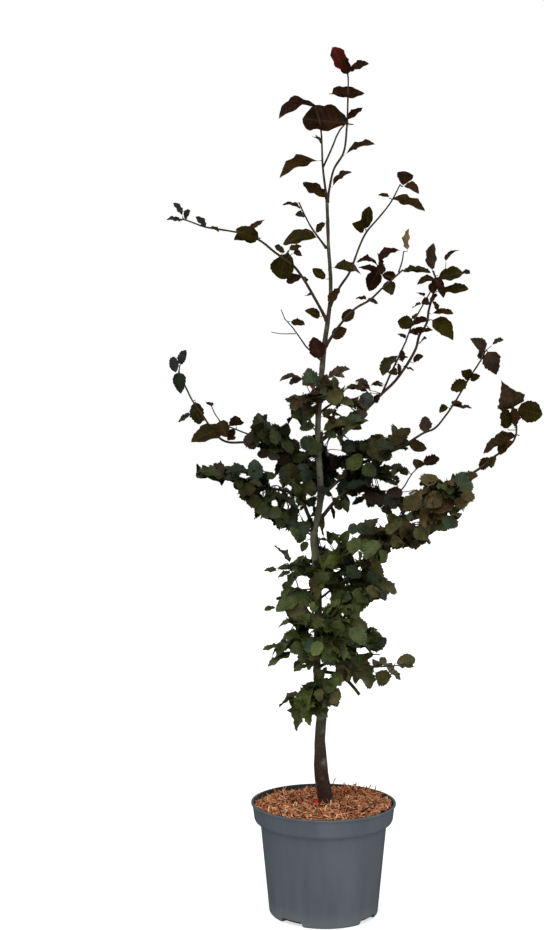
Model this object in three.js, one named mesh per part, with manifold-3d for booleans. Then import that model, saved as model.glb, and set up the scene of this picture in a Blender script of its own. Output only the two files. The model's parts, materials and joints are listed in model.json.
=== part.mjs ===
// A young copper beech in a round nursery pot: pot, root ball, mulch, one stem, its boughs and
// the masses of foliage. Millimetres, +Z up, +X to the right and +Y to the back.
// The origin is the middle of the pot's flat underside.
import * as THREE from "three";
import { mergeVertices } from "three/addons/utils/BufferGeometryUtils.js";
import Module from "manifold-3d";

// ---- Driving dimensions -------------------------------------------------------------------

const GAP = 0.3; // running gap between neighbours that touch
const POT_RIM_RADIUS = 130;
const POT_BASE_RADIUS = 97;
const POT_HEIGHT = 196;
const POT_WALL = 2.2;
const POT_FLOOR = 4;
const LIP_HEIGHT = 4; // the thin bead round the mouth
const LIP_OVERHANG = 2.5;
const COLLAR_FOOT = 168; // height where the deep collar under the lip ends
const COLLAR_STEP = 10; // height over which the collar steps in to the wall
const COLLAR_TAPER = 3.2; // how much the collar narrows from lip to foot
const WALL_TOP_RADIUS = 113; // just under the collar
const NOTCH_COUNT = 4; // drainage notches between the feet
const NOTCH_ARC_DEG = 24;
const NOTCH_HEIGHT = 9;
const NOTCH_DEPTH = 16; // measured in from the outside of the wall
const FIRST_NOTCH_DEG = 52.5 - 90; // counted from +X; one foot faces the front
const POT_SEGMENTS = 40;

const SOIL_TOP = 178;
const MULCH_TOP = 191;
const MULCH_RELIEF = 1.5; // how far the mulch surface rises and dips
const MULCH_TILT = 3.5; // how far it lies lower at the back left than in the middle

const TRUNK_SIDES = 10;
const TRUNK_RINGS = 24;
const LIMB_SIDES = 6;
const LIMB_RING_EVERY = 45; // spacing of a limb's rings
const UNEVENNESS = 0.14; // lumpiness of a foliage mass, as a share of its radius

// The stem, from the soil to the fork: height, then how far its middle stands to the right
// and to the back, and its radius. It flares at the root and kinks at an old fork.
const TRUNK = [
  { height: SOIL_TOP + GAP, right: 4, back: 0, radius: 16 },
  { height: 200, right: 4, back: 0, radius: 13.6 },
  { height: 240, right: -3, back: 0, radius: 13.2 },
  { height: 306, right: -6, back: 2, radius: 9.8 },
  { height: 362, right: -3, back: 4, radius: 9.1 },
  { height: 425, right: -11, back: 5, radius: 6.8 },
  { height: 560, right: -9, back: 5, radius: 6.6 },
  { height: 640, right: -15, back: 2, radius: 6.4 },
  { height: 665, right: -18, back: 0, radius: 6.3 },
  { height: 737, right: -6, back: -3, radius: 5.9 },
  { height: 865, right: -10, back: 0, radius: 5.3 },
  { height: 998, right: 0, back: 3, radius: 5 },
  { height: 1111, right: 13, back: 0, radius: 3.5 },
  { height: 1195, right: 9, back: 0, radius: 3.2 },
  { height: 1286, right: 6, back: 0, radius: 2.6 },
];

// Each limb starts inside the stem, or inside another limb, and runs through a few waypoints
// [right, back, height]. Where it meets masses of foliage it is parted into the named pieces,
// counted from its root.
const LIMBS = [
  { name: "leader_left", radii: [2, 1.5], pieces: [""], via: [[6, 0, 1278], [1, -4, 1338], [-4, -8, 1425]] },
  { name: "leader_right", radii: [2.1, 1.4], pieces: ["_lower", "_upper"],
    via: [[6, 0, 1272], [18, 6, 1331], [38, 10, 1367], [42, 6, 1440], [45, 0, 1520]] },
  { name: "left_twig", radii: [1.8, 1.2], pieces: [""], via: [[9, 0, 1195], [-14, 26, 1225], [-39, 47, 1266]] },
  { name: "left_long", radii: [2.8, 1.3], pieces: ["_inner", "_middle", "_outer"],
    via: [[6, 0, 1060], [-21, -28, 1104], [-53, -49, 1153], [-113, -84, 1190], [-179, -123, 1202], [-232, -140, 1214]] },
  { name: "right_rising", radii: [2.4, 1.3], pieces: [""],
    via: [[12, 0, 1097], [49, 28, 1151], [81, 63, 1228], [155, 105, 1316]] },
  { name: "right_mid", radii: [2.6, 1.6], pieces: [""], via: [[4, 0, 1020], [31, -34, 1051], [89, -84, 1107]] },
  { name: "right_high", radii: [3.2, 1.8], pieces: [""],
    via: [[30, 12, 868], [52, 38, 880], [89, 91, 910], [160, 133, 984], [211, 161, 1106]] },
  { name: "right_arch", radii: [2.6, 1.4], pieces: [""],
    via: [[60, 15, 800], [98, -20, 813], [138, -63, 832], [190, -84, 867], [238, -95, 938], [277, -98, 988]] },
  { name: "right_far", radii: [2.2, 1.4], pieces: ["_inner", "_outer"],
    via: [[205, -146, 758], [249, -157, 786], [287, -162, 837], [314, -157, 893]] },
  { name: "left_wide", radii: [2.6, 1.3], pieces: ["_inner", "_outer"],
    via: [[-72, 63, 838], [-130, 91, 856], [-181, 119, 875], [-217, 133, 902], [-253, 140, 941], [-264, 147, 978]] },
  { name: "left_low", radii: [3.6, 2.6], pieces: [""], via: [[-17, 0, 680], [-45, -20, 730], [-85, -50, 750]] },
  { name: "right_crotch", radii: [3.8, 2.8], pieces: [""], via: [[-12, 0, 700], [23, -4, 737], [85, 20, 790]] },
  { name: "right_low", radii: [3.4, 2.4], pieces: [""], via: [[-16, 0, 618], [20, -35, 645], [110, -60, 672]] },
  { name: "bottom_twig", radii: [2.4, 1.6], pieces: [""], via: [[40, 5, 458], [58, -25, 436], [82, -45, 428], [112, -60, 436]] },
];

// Each mass of foliage is one uneven ball: its middle [right, back, height], its half sizes in
// the same order, how far it is tipped clockwise as seen from the front, and how finely it is
// faceted (1 for a cluster of a few leaves, 2 for a mass of many sprays).
const MASSES = [
  { name: "top_tip", middle: [46, 0, 1526], half: [20, 16, 25], tip: -25, detail: 1 },
  { name: "leader_leaves", middle: [46, 6, 1458], half: [27, 20, 30], tip: 0, detail: 1 },
  { name: "top_left_leaves", middle: [-22, -6, 1430], half: [56, 26, 28], tip: 8, detail: 1 },
  { name: "upper_left_leaf", middle: [-34, -5, 1339], half: [41, 17, 18], tip: -25, detail: 1 },
  { name: "left_twig_leaves", middle: [-39, 47, 1266], half: [25, 16, 18], tip: 0, detail: 1 },
  { name: "right_rising_leaves", middle: [156, 105, 1316], half: [37, 22, 28], tip: 20, detail: 1 },
  { name: "left_long_inner_leaves", middle: [-50, -53, 1174], half: [40, 30, 42], tip: 0, detail: 1 },
  { name: "left_long_middle_leaves", middle: [-133, -98, 1198], half: [26, 18, 20], tip: 0, detail: 1 },
  { name: "left_long_tip_leaves", middle: [-239, -141, 1218], half: [33, 20, 17], tip: -10, detail: 1 },
  { name: "right_mid_leaves", middle: [91, -88, 1134], half: [54, 42, 38], tip: -20, detail: 2 },
  { name: "right_high_leaves", middle: [219, 161, 1125], half: [52, 38, 92], tip: 22, detail: 2 },
  { name: "right_arch_tip_leaves", middle: [279, -98, 986], half: [24, 20, 35], tip: 0, detail: 1 },
  { name: "right_arch_leaves", middle: [242, -97, 948], half: [27, 20, 27], tip: 0, detail: 1 },
  { name: "right_far_tip_leaves", middle: [320, -155, 903], half: [41, 26, 35], tip: 0, detail: 1 },
  { name: "right_far_leaves", middle: [285, -162, 835], half: [31, 22, 31], tip: -30, detail: 1 },
  { name: "left_wide_tip_leaves", middle: [-264, 147, 981], half: [23, 16, 38], tip: 8, detail: 1 },
  { name: "left_wide_leaves", middle: [-218, 129, 883], half: [37, 26, 34], tip: 0, detail: 1 },
  { name: "stem_leaf", middle: [-15, 0, 1010], half: [13, 12, 23], tip: 15, detail: 1 },
  { name: "stem_left_leaves", middle: [-42, -15, 920], half: [36, 35, 52], tip: 0, detail: 2 },
  { name: "stem_right_leaves", middle: [40, 15, 921], half: [42, 40, 52], tip: 0, detail: 2 },
  { name: "left_upper_mass", middle: [-74, 50, 846], half: [66, 55, 48], tip: 15, detail: 2 },
  { name: "left_outer_mass", middle: [-164, -115, 784], half: [58, 36, 26], tip: 8, detail: 1 },
  { name: "left_lower_mass", middle: [-87, -61, 737], half: [76, 66, 54], tip: 30, detail: 2 },
  { name: "right_upper_mass", middle: [88, 38, 805], half: [68, 55, 80], tip: 0, detail: 2 },
  { name: "right_outer_mass", middle: [196, -136, 751], half: [60, 60, 48], tip: -15, detail: 2 },
  { name: "right_lower_mass", middle: [127, -74, 675], half: [86, 64, 38], tip: -12, detail: 2 },
  { name: "core_right_mass", middle: [52, -25, 596], half: [76, 70, 54], tip: 0, detail: 2 },
  { name: "left_spray_mass", middle: [-60, 20, 612], half: [44, 40, 32], tip: 0, detail: 1 },
  { name: "core_left_mass", middle: [-50, -15, 508], half: [52, 55, 70], tip: 0, detail: 2 },
  { name: "low_right_mass", middle: [50, 20, 486], half: [60, 60, 52], tip: 0, detail: 2 },
  { name: "bottom_spray_leaves", middle: [113, -60, 436], half: [44, 30, 24], tip: 0, detail: 1 },
  { name: "bottom_mass", middle: [-20, -32, 390], half: [56, 38, 50], tip: 30, detail: 2 },
  { name: "back_upper_mass", middle: [2, 110, 819], half: [56, 101, 62], tip: 0, detail: 2 },
  { name: "back_lower_mass", middle: [2, 102, 605], half: [60, 94, 72], tip: 0, detail: 2 },
  { name: "front_mass", middle: [0, -83, 517], half: [46, 70, 50], tip: 0, detail: 2 },
];

const finish = (colour, roughness) => new THREE.MeshStandardMaterial({ color: colour, roughness, metalness: 0 });
const POT_PLASTIC = finish(0x545c62, 0.45);
const SOIL = finish(0x2b211b, 0.95);
const MULCH = finish(0x82513a, 0.9);
const BARK = finish(0x4a4338, 0.75);
const LEAF = finish(0x2e2c18, 0.5);

const wasm = await Module();
wasm.setup();

// ---- Solids and their conversion ----------------------------------------------------------

function toSolid(geometry) {
  const bare = geometry.clone();
  for (const extra of ["normal", "uv"]) bare.deleteAttribute(extra);
  const merged = mergeVertices(bare, 1e-4);
  const solid = new wasm.Manifold(new wasm.Mesh({
    numProp: 3,
    vertProperties: new Float32Array(merged.attributes.position.array),
    triVerts: new Uint32Array(merged.index.array),
  }));
  if (solid.volume() <= 0) throw new Error("a geometry is inside out");
  return solid;
}

function toGeometry(solid) {
  const mesh = solid.getMesh();
  const positions = new Float32Array(mesh.numVert * 3);
  for (let i = 0; i < mesh.numVert; i++) {
    positions.set(mesh.vertProperties.subarray(i * mesh.numProp, i * mesh.numProp + 3), i * 3);
  }
  const geometry = new THREE.BufferGeometry();
  geometry.setAttribute("position", new THREE.BufferAttribute(positions, 3));
  geometry.setIndex(new THREE.BufferAttribute(new Uint32Array(mesh.triVerts), 1));
  geometry.computeVertexNormals();
  return geometry;
}

const largestPiece = (solid) => solid.decompose().sort((a, b) => b.volume() - a.volume())[0];

// ---- Pot, root ball and mulch -------------------------------------------------------------

const wallRadiusAt = (height) =>
  THREE.MathUtils.mapLinear(height, 0, COLLAR_FOOT - COLLAR_STEP, POT_BASE_RADIUS, WALL_TOP_RADIUS);

const lathe = (profile, segments) =>
  new THREE.LatheGeometry(profile.map(([radius, height]) => new THREE.Vector2(radius, height)), segments)
    .rotateX(Math.PI / 2);

function potSolid() {
  const collarTop = POT_RIM_RADIUS - LIP_OVERHANG;
  const collarBottom = collarTop - COLLAR_TAPER;
  const stepFoot = COLLAR_FOOT - COLLAR_STEP;
  const outside = [
    [0, 0],
    [POT_BASE_RADIUS - 2, 0],
    [wallRadiusAt(3), 3],
    [WALL_TOP_RADIUS, stepFoot],
    [collarBottom - 2, COLLAR_FOOT - 4],
    [collarBottom, COLLAR_FOOT],
    [collarTop, POT_HEIGHT - LIP_HEIGHT],
    [POT_RIM_RADIUS, POT_HEIGHT - LIP_HEIGHT + 1],
    [POT_RIM_RADIUS, POT_HEIGHT],
  ];
  const inside = [
    [collarTop - POT_WALL, POT_HEIGHT],
    [collarBottom - POT_WALL, COLLAR_FOOT],
    [WALL_TOP_RADIUS - POT_WALL, stepFoot + 2],
    [wallRadiusAt(POT_FLOOR) - POT_WALL, POT_FLOOR],
    [0, POT_FLOOR],
  ];
  let pot = toSolid(lathe([...outside, ...inside], POT_SEGMENTS));
  for (let i = 0; i < NOTCH_COUNT; i++) pot = pot.subtract(notchSolid(FIRST_NOTCH_DEG + (360 / NOTCH_COUNT) * i));
  return pot;
}

// One drainage notch: a wedge of a ring that reaches under the wall and up its foot.
function notchSolid(middleDeg) {
  const halfArc = THREE.MathUtils.degToRad(NOTCH_ARC_DEG / 2);
  const middle = THREE.MathUtils.degToRad(middleDeg);
  const outline = new THREE.Shape();
  outline.absarc(0, 0, POT_BASE_RADIUS + 6, middle - halfArc, middle + halfArc, false);
  outline.absarc(0, 0, POT_BASE_RADIUS - NOTCH_DEPTH, middle + halfArc, middle - halfArc, true);
  const options = { depth: NOTCH_HEIGHT + 1, bevelEnabled: false, curveSegments: 4 };
  return toSolid(new THREE.ExtrudeGeometry(outline, options).translate(0, 0, -1));
}

// A filling that follows the pot's inside, from one height up to another.
function fillingSolid(bottom, top, relief, tilt) {
  const stepFoot = COLLAR_FOOT - COLLAR_STEP;
  const collarBottom = POT_RIM_RADIUS - LIP_OVERHANG - COLLAR_TAPER;
  const walls = [
    [wallRadiusAt(POT_FLOOR), POT_FLOOR],
    [WALL_TOP_RADIUS, stepFoot + 2],
    [collarBottom, COLLAR_FOOT],
    [POT_RIM_RADIUS - LIP_OVERHANG, POT_HEIGHT],
  ];
  const radiusAt = (height) => {
    const next = walls.findIndex(([, level]) => level >= height);
    const [lowRadius, low] = walls[Math.max(next - 1, 0)];
    const [highRadius, high] = walls[Math.max(next, 1)];
    return THREE.MathUtils.mapLinear(height, low, high, lowRadius, highRadius) - POT_WALL - 2 * GAP;
  };
  const side = [bottom, ...walls.map(([, level]) => level).filter((h) => h > bottom && h < top), top];
  const edge = radiusAt(top - relief - tilt);
  const surface = relief ? [0.78, 0.5, 0.25].map((share) => [edge * share, top]) : [];
  const profile = [[0, bottom], ...side.slice(0, -1).map((h) => [radiusAt(h), h]), [edge, top], ...surface, [0, top]];
  const geometry = lathe(profile, POT_SEGMENTS);
  const place = geometry.attributes.position;
  for (let i = 0; i < place.count; i++) {
    const [x, y, z] = [place.getX(i), place.getY(i), place.getZ(i)];
    if (z < top - 1e-6) continue;
    const bumps = Math.sin(x / 21 + 1) * Math.cos(y / 17);
    const slope = (x - y) / (Math.SQRT2 * POT_RIM_RADIUS);
    place.setZ(i, z + relief * bumps + tilt * slope);
  }
  return toSolid(geometry);
}

// ---- Stem and boughs ----------------------------------------------------------------------

const smooth = (points) => new THREE.CatmullRomCurve3(points, false, "centripetal");

// A closed tube from rings of points, capped flat at both ends.
function skin(rings) {
  const sides = rings[0].length;
  const ends = [rings[0], rings[rings.length - 1]].map((ring) =>
    ring.reduce((sum, p) => sum.add(p), new THREE.Vector3()).divideScalar(sides));
  const points = [...rings.flat(), ...ends];
  const faces = [];
  for (let s = 0; s < sides; s++) {
    const t = (s + 1) % sides;
    for (let r = 0; r + 1 < rings.length; r++) {
      const [a, b, c, d] = [r * sides + s, r * sides + t, (r + 1) * sides + t, (r + 1) * sides + s];
      faces.push(a, b, c, a, c, d);
    }
    const last = (rings.length - 1) * sides;
    faces.push(points.length - 2, t, s, points.length - 1, last + s, last + t);
  }
  const geometry = new THREE.BufferGeometry().setFromPoints(points);
  geometry.setIndex(faces);
  return toSolid(geometry);
}

function trunkSolid(grow) {
  const line = smooth(TRUNK.map(({ right, back, height }) => new THREE.Vector3(right, back, height)));
  const bottom = TRUNK[0].height;
  const radiusAt = (height) => {
    const next = Math.max(TRUNK.findIndex((station) => station.height >= height - 1e-6), 1);
    const [low, high] = [TRUNK[next - 1], TRUNK[next]];
    return THREE.MathUtils.mapLinear(height, low.height, high.height, low.radius, high.radius);
  };
  const rings = [];
  for (let r = 0; r <= TRUNK_RINGS; r++) {
    const middle = line.getPoint((r / TRUNK_RINGS) ** 1.15);
    middle.z = r ? middle.z : bottom;
    const radius = radiusAt(middle.z) + grow;
    rings.push(Array.from({ length: TRUNK_SIDES }, (_, s) => {
      const turn = (s / TRUNK_SIDES) * 2 * Math.PI;
      return new THREE.Vector3(middle.x + radius * Math.cos(turn), middle.y + radius * Math.sin(turn), middle.z);
    }));
  }
  return skin(rings);
}

function limbSolid(limb, grow) {
  const line = smooth(limb.via.map((p) => new THREE.Vector3(...p)));
  const count = Math.max(3, Math.round(line.getLength() / LIMB_RING_EVERY));
  const frames = line.computeFrenetFrames(count, false);
  const rings = [];
  for (let r = 0; r <= count; r++) {
    const middle = line.getPointAt(r / count);
    const radius = THREE.MathUtils.lerp(...limb.radii, r / count) + grow;
    rings.push(Array.from({ length: LIMB_SIDES }, (_, s) => {
      const turn = (s / LIMB_SIDES) * 2 * Math.PI;
      return middle.clone()
        .addScaledVector(frames.normals[r], radius * Math.cos(turn))
        .addScaledVector(frames.binormals[r], radius * Math.sin(turn));
    }));
  }
  return skin(rings);
}

// ---- Masses of foliage --------------------------------------------------------------------

function massSolid({ middle, half, tip, detail }, seed, grow) {
  const geometry = new THREE.IcosahedronGeometry(1, detail);
  geometry.deleteAttribute("normal");
  geometry.deleteAttribute("uv");
  const ball = mergeVertices(geometry, 1e-4);
  const place = ball.attributes.position;
  const turn = new THREE.Matrix4().makeRotationY(THREE.MathUtils.degToRad(tip));
  const p = new THREE.Vector3();
  for (let i = 0; i < place.count; i++) {
    p.fromBufferAttribute(place, i).normalize();
    const lumps = Math.sin(4.1 * p.x + 1.7 * seed) * Math.cos(3.3 * p.z - seed)
      + 0.6 * Math.sin(6.7 * p.y + 2.9 * seed + 3 * p.x);
    p.multiplyScalar(1 + UNEVENNESS * lumps);
    const reach = p.clone().multiply(new THREE.Vector3(...half));
    p.copy(reach).addScaledVector(reach.clone().normalize(), grow).applyMatrix4(turn);
    place.setXYZ(i, p.x + middle[0], p.y + middle[1], p.z + middle[2]);
  }
  return toSolid(ball);
}

// ---- Assembly -----------------------------------------------------------------------------

const tree = new THREE.Group();
tree.name = "copper_beech_in_pot";

function add(name, solid, material) {
  const mesh = new THREE.Mesh(toGeometry(solid), material);
  mesh.name = name;
  tree.add(mesh);
}

const trunkRoom = trunkSolid(GAP);
add("pot", potSolid(), POT_PLASTIC);
add("root_ball", fillingSolid(POT_FLOOR + GAP, SOIL_TOP, 0, 0), SOIL);
const mulchBed = fillingSolid(SOIL_TOP + GAP, MULCH_TOP, MULCH_RELIEF, MULCH_TILT);
add("mulch", largestPiece(mulchBed.subtract(trunkRoom)), MULCH);
add("trunk", trunkSolid(0), BARK);

// Masses are cut round the stem and kept clear of those before them; the boughs then end
// where they enter a mass.
const massRooms = [];
MASSES.forEach((mass, index) => {
  const clear = massRooms.reduce((left, room) => left.subtract(room), massSolid(mass, index, 0).subtract(trunkRoom));
  add(mass.name, largestPiece(clear), LEAF);
  massRooms.push(massSolid(mass, index, GAP + 0.1));
});

const limbRooms = [trunkRoom];
for (const limb of LIMBS) {
  const rest = [...massRooms, ...limbRooms].reduce((left, room) => left.subtract(room), limbSolid(limb, 0));
  const samples = smooth(limb.via.map((p) => new THREE.Vector3(...p))).getSpacedPoints(60);
  const along = (piece) => {
    const { min, max } = piece.boundingBox();
    const middle = new THREE.Vector3(...min).add(new THREE.Vector3(...max)).divideScalar(2);
    return samples.reduce((best, p, i) => (p.distanceTo(middle) < samples[best].distanceTo(middle) ? i : best), 0);
  };
  const found = rest.decompose()
    .sort((a, b) => b.volume() - a.volume())
    .slice(0, limb.pieces.length)
    .sort((a, b) => along(a) - along(b));
  if (found.length < limb.pieces.length) throw new Error(limb.name + " has only " + found.length + " clear pieces");
  found.forEach((piece, i) => add("bough_" + limb.name + limb.pieces[i], piece, BARK));
  limbRooms.push(limbSolid(limb, GAP));
}

export default tree;
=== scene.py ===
"""A young copper beech in a round nursery pot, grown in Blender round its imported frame.

Tables and working values are millimetres: +X right, +Y to the back, +Z up, from the middle of
the pot's underside. Meshes are turned to metres when they are finished.
"""
import json
import math
import random
from collections import namedtuple

import bmesh
import bpy
import numpy as np
from mathutils import Matrix, Vector, geometry, noise


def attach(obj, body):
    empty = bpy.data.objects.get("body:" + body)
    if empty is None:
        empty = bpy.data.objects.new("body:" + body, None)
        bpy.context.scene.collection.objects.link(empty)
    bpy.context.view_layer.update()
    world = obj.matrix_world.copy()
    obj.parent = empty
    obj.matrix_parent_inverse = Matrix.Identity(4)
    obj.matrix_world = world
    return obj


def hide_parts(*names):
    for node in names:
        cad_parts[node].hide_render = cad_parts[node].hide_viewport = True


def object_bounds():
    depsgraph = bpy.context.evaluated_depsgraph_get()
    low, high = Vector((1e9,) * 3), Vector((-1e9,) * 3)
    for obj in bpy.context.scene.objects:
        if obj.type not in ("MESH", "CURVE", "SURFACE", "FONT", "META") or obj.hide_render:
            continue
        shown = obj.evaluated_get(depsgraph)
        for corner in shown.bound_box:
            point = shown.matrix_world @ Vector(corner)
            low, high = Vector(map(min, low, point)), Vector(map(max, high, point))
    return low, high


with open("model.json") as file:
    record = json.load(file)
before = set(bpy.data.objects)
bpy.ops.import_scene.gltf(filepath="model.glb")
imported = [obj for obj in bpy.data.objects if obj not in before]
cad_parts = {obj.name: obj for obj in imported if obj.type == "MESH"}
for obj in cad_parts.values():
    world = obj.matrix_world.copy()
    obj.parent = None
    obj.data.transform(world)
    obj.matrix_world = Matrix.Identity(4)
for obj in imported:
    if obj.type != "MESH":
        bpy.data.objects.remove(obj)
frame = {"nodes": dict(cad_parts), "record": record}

cad_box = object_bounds()
METRES = 0.001  # metres in a millimetre
SEED = 2417
chance = random.Random(SEED)
HARD_EDGE = math.radians(35)  # edges that turn by more stay sharp

# ---- Sizes ----------------------------------------------------------------------------------

# The camera stands in front of the stem, a little to its left, at about half the plant's height.
EYE = np.array([-92.4, -2321.0, 800.0])
LENS_MM = 50
SENSOR_MM = 36

SKY_LIGHT = 0.75  # how bright the surroundings are on the plant; they are plain white to the eye
FLOOR_GLOW = 0.6  # the floor is a light table, so that shadows on it stay faint
# The lamps: degrees round from the front, degrees up, power, and spread in degrees.
SUNS = [
    ("key", -28, 52, 1.8, 60), ("side", 50, 35, 0.75, 50), ("rim_left", -128, 30, 0.6, 40),
    ("rim_right", 128, 30, 0.6, 40),
]

# The pot, as in the frame: its outside from the foot up, then its inside from the lip down.
POT_RIM_RADIUS = 130
POT_SEGMENTS = 144
POT_ROUNDING = 0.7
POT_OUTSIDE = [
    (0, 0), (95, 0), (97.3, 3), (113, 158), (122.3, 164), (124.3, 168), (127.5, 192), (130, 193), (130, 196),
]
POT_INSIDE = [(125.3, 196), (122.1, 168), (110.8, 160), (95.2, 4), (0, 4)]
SHADED_WALL = 176  # above this level, the inside of the wall is painted darker over the mulch: painted shade
NOTCH_MIDDLES_DEG = [52.5, 142.5, 232.5, 322.5]
NOTCH_ARC_DEG = 24
NOTCH_HEIGHT = 9
NOTCH_UNDERCUT = 5  # how far below the ground the cut starts
NOTCH_FLARE_DEG = 4  # how far each side of a notch leans outwards there
NOTCH_INNER_RADIUS = 81

ROOT_BALL = [(0, 4.6), (94, 4.6), (110, 159.4), (121.2, 167.6), (122.3, 177.6), (0, 177.6)]
MULCH_TOP = 191
MULCH_RELIEF = 1.5
MULCH_TILT = 3.5
MULCH_RADIUS = 124
MULCH_UNDERSIDE = 179
UNDERSIDE_SHARE = 0.985  # the bed's underside is this much as wide as its top
HEAP_MIDDLE = (62, 78)
HEAP_HEIGHT = 3.5
CHIP_COUNT = 6200
# The tones of the splinters, and how common each is.
CHIP_TONES = {"#b88057": 4, "#a36443": 6, "#894b2c": 5, "#3f1c0e": 6, "#cea277": 3, "#ab8a68": 1}
STANDING_ON_HEAP, STANDING = 0.12, 0.03  # how many splinters stand up on the heap, and elsewhere
STEM_FOOT_RIGHT = 4
STEM_FOOT_ROOM = 14  # no splinter lies nearer to the middle of the stem's foot
TIE_MIDDLE = (-14, -17, 197)

# The stem: height, right, back, radius.
TRUNK = [
    (178.3, 4, 0, 16), (200, 4, 0, 13.6), (240, -3, 0, 13.2), (306, -6, 2, 9.8), (362, -3, 4, 9.1),
    (425, -11, 5, 6.8), (560, -9, 5, 6.6), (640, -15, 2, 6.4), (665, -18, 0, 6.3), (737, -6, -3, 5.9),
    (865, -10, 0, 5.3), (998, 0, 3, 5), (1111, 13, 0, 3.5), (1195, 9, 0, 3.2), (1286, 6, 0, 2.6),
]

# Old leaf scars and knots on the stem: height, the way each faces in degrees from the right
# towards the back, how wide and how proud it is.
KNOTS = [
    (214, -80, 7, 1.6), (232, -150, 6, 1.1), (268, -60, 6, 1.2), (318, -120, 7, 1.4), (352, -20, 6, 1.5),
    (396, 40, 8, 2.0), (430, 200, 8, 1.8), (470, -40, 6, 1.4), (528, 190, 7, 1.6), (590, 160, 7, 1.6),
    (640, -30, 9, 2.2), (690, 180, 9, 2.2), (742, 10, 8, 2.0), (790, 120, 7, 1.6), (842, 20, 7, 1.6),
    (908, 200, 5, 1.2), (955, 0, 5, 1.2), (1014, 10, 5, 1.4), (1062, 190, 5, 1.3), (1090, 10, 4, 1.2),
    (1150, 170, 4, 1.0), (1192, 190, 4, 1.0), (1240, 10, 4, 0.9),
]

TRUNK_STEP = 4
TRUNK_SIDES = 24
LIMB_STEP = 6
LIMB_SIDES = 10
COLLAR_REACH = 7  # how far along a limb the swelling at its root goes
COLLAR_SWELL = 0.7  # and how much thicker it makes the root
STEM_ROUGHNESS = 1.0
LIMB_ROUGHNESS = 0.5
SWELLING = 21  # the size of the slow swellings of the bark
WRINKLE_WIDTH = 7
WRINKLE_HEIGHT = 3

# Each limb's route, as drawn on the upright sheet through the stem: right, height, and how far
# back it lies. Its radii are those at its root and at its tip. The last entry names the frame's
# boughs that it stands for.
LIMBS = {
    "leader_left": ((2.2, 1.5),
        [(6, 1278, 0), (-1, 1334, -4), (-5, 1406, -8), (-15, 1446, -8)], ["leader_left"]),
    "leader_right": ((2.3, 1.4),
        [(7, 1272, 0), (11, 1298, 3), (19, 1332, 6), (36, 1361, 10), (42, 1406, 8), (44, 1464, 4),
         (44, 1500, 1), (40, 1512, 0)], ["leader_right_lower", "leader_right_upper"]),
    "left_twig": ((1.9, 1.2),
        [(5, 1190, 0), (-9, 1209, 12), (-23, 1229, 26), (-34, 1250, 38), (-44, 1272, 48)], ["left_twig"]),
    "left_long": ((2.9, 1.2),
        [(6, 1060, 0), (-18, 1104, -27), (-37, 1136, -40), (-54, 1158, -50), (-87, 1182, -68),
         (-112, 1202, -84), (-138, 1214, -98), (-190, 1224, -124), (-214, 1228, -132), (-251, 1241, -140),
         (-261, 1241, -142)], ["left_long_inner", "left_long_middle", "left_long_outer"]),
    "right_rising": ((2.5, 1.3),
        [(12, 1086, 0), (29, 1119, 12), (47, 1146, 28), (64, 1191, 48), (77, 1218, 62), (100, 1245, 76),
         (121, 1272, 90), (138, 1304, 104)], ["right_rising"]),
    "right_mid": ((2.8, 1.4),
        [(4, 1014, 0), (33, 1056, -34), (57, 1081, -56), (84, 1097, -80), (103, 1115, -90),
         (121, 1131, -98), (143, 1151, -106)], ["right_mid"]),
    "right_high": ((3.5, 2.0),
        [(-8, 842, 0), (28, 866, 14), (56, 882, 42), (105, 928, 102), (133, 956, 122), (166, 1009, 142),
         (172, 1032, 147), (186, 1056, 151), (189, 1077, 153), (198, 1109, 158), (203, 1129, 161),
         (197, 1149, 162)], ["right_high"]),
    "right_arch": ((3.0, 1.3),
        [(-6, 742, -2), (30, 774, 8), (60, 798, 12), (100, 815, -22), (124, 825, -50), (149, 838, -68),
         (179, 857, -80), (200, 866, -88), (219, 888, -92), (235, 911, -95), (260, 953, -98),
         (284, 991, -98), (288, 1002, -97)], ["right_arch"]),
    "right_far": ((3.2, 1.5),
        [(-15, 624, -2), (40, 652, -40), (100, 678, -84), (150, 704, -112), (205, 745, -140),
         (252, 776, -151), (281, 794, -156), (307, 815, -160), (325, 827, -161), (342, 844, -160),
         (347, 863, -158), (340, 905, -154)], ["right_far_inner", "right_far_outer"]),
    "left_wide": ((3.2, 1.3),
        [(-9, 790, 0), (-40, 820, 36), (-72, 838, 62), (-115, 844, 80), (-145, 841, 92), (-171, 841, 104),
         (-186, 848, 112), (-207, 874, 122), (-218, 891, 128), (-235, 915, 134), (-246, 937, 139),
         (-259, 965, 143), (-258, 980, 145)], ["left_wide_inner", "left_wide_outer"]),
    "left_low": ((3.8, 1.2),
        [(-17, 682, 0), (-28, 712, -12), (-42, 740, -26), (-62, 752, -40), (-92, 758, -54),
         (-125, 768, -84), (-165, 782, -112), (-198, 788, -124)], ["left_low"]),
    "right_crotch": ((4.0, 1.4),
        [(-14, 692, 0), (23, 737, -4), (60, 770, 12), (85, 790, 20), (112, 830, 30)], ["right_crotch"]),
    "right_low": ((3.6, 1.2),
        [(-16, 612, 0), (20, 645, -35), (70, 662, -52), (110, 672, -60), (160, 690, -90)], ["right_low"]),
    "bottom_twig": ((2.6, 1.0),
        [(-10, 436, 5), (26, 454, 5), (47, 457, -2), (66, 445, -25), (90, 438, -45), (133, 440, -60),
         (150, 442, -64)], ["bottom_twig"]),
}

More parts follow.
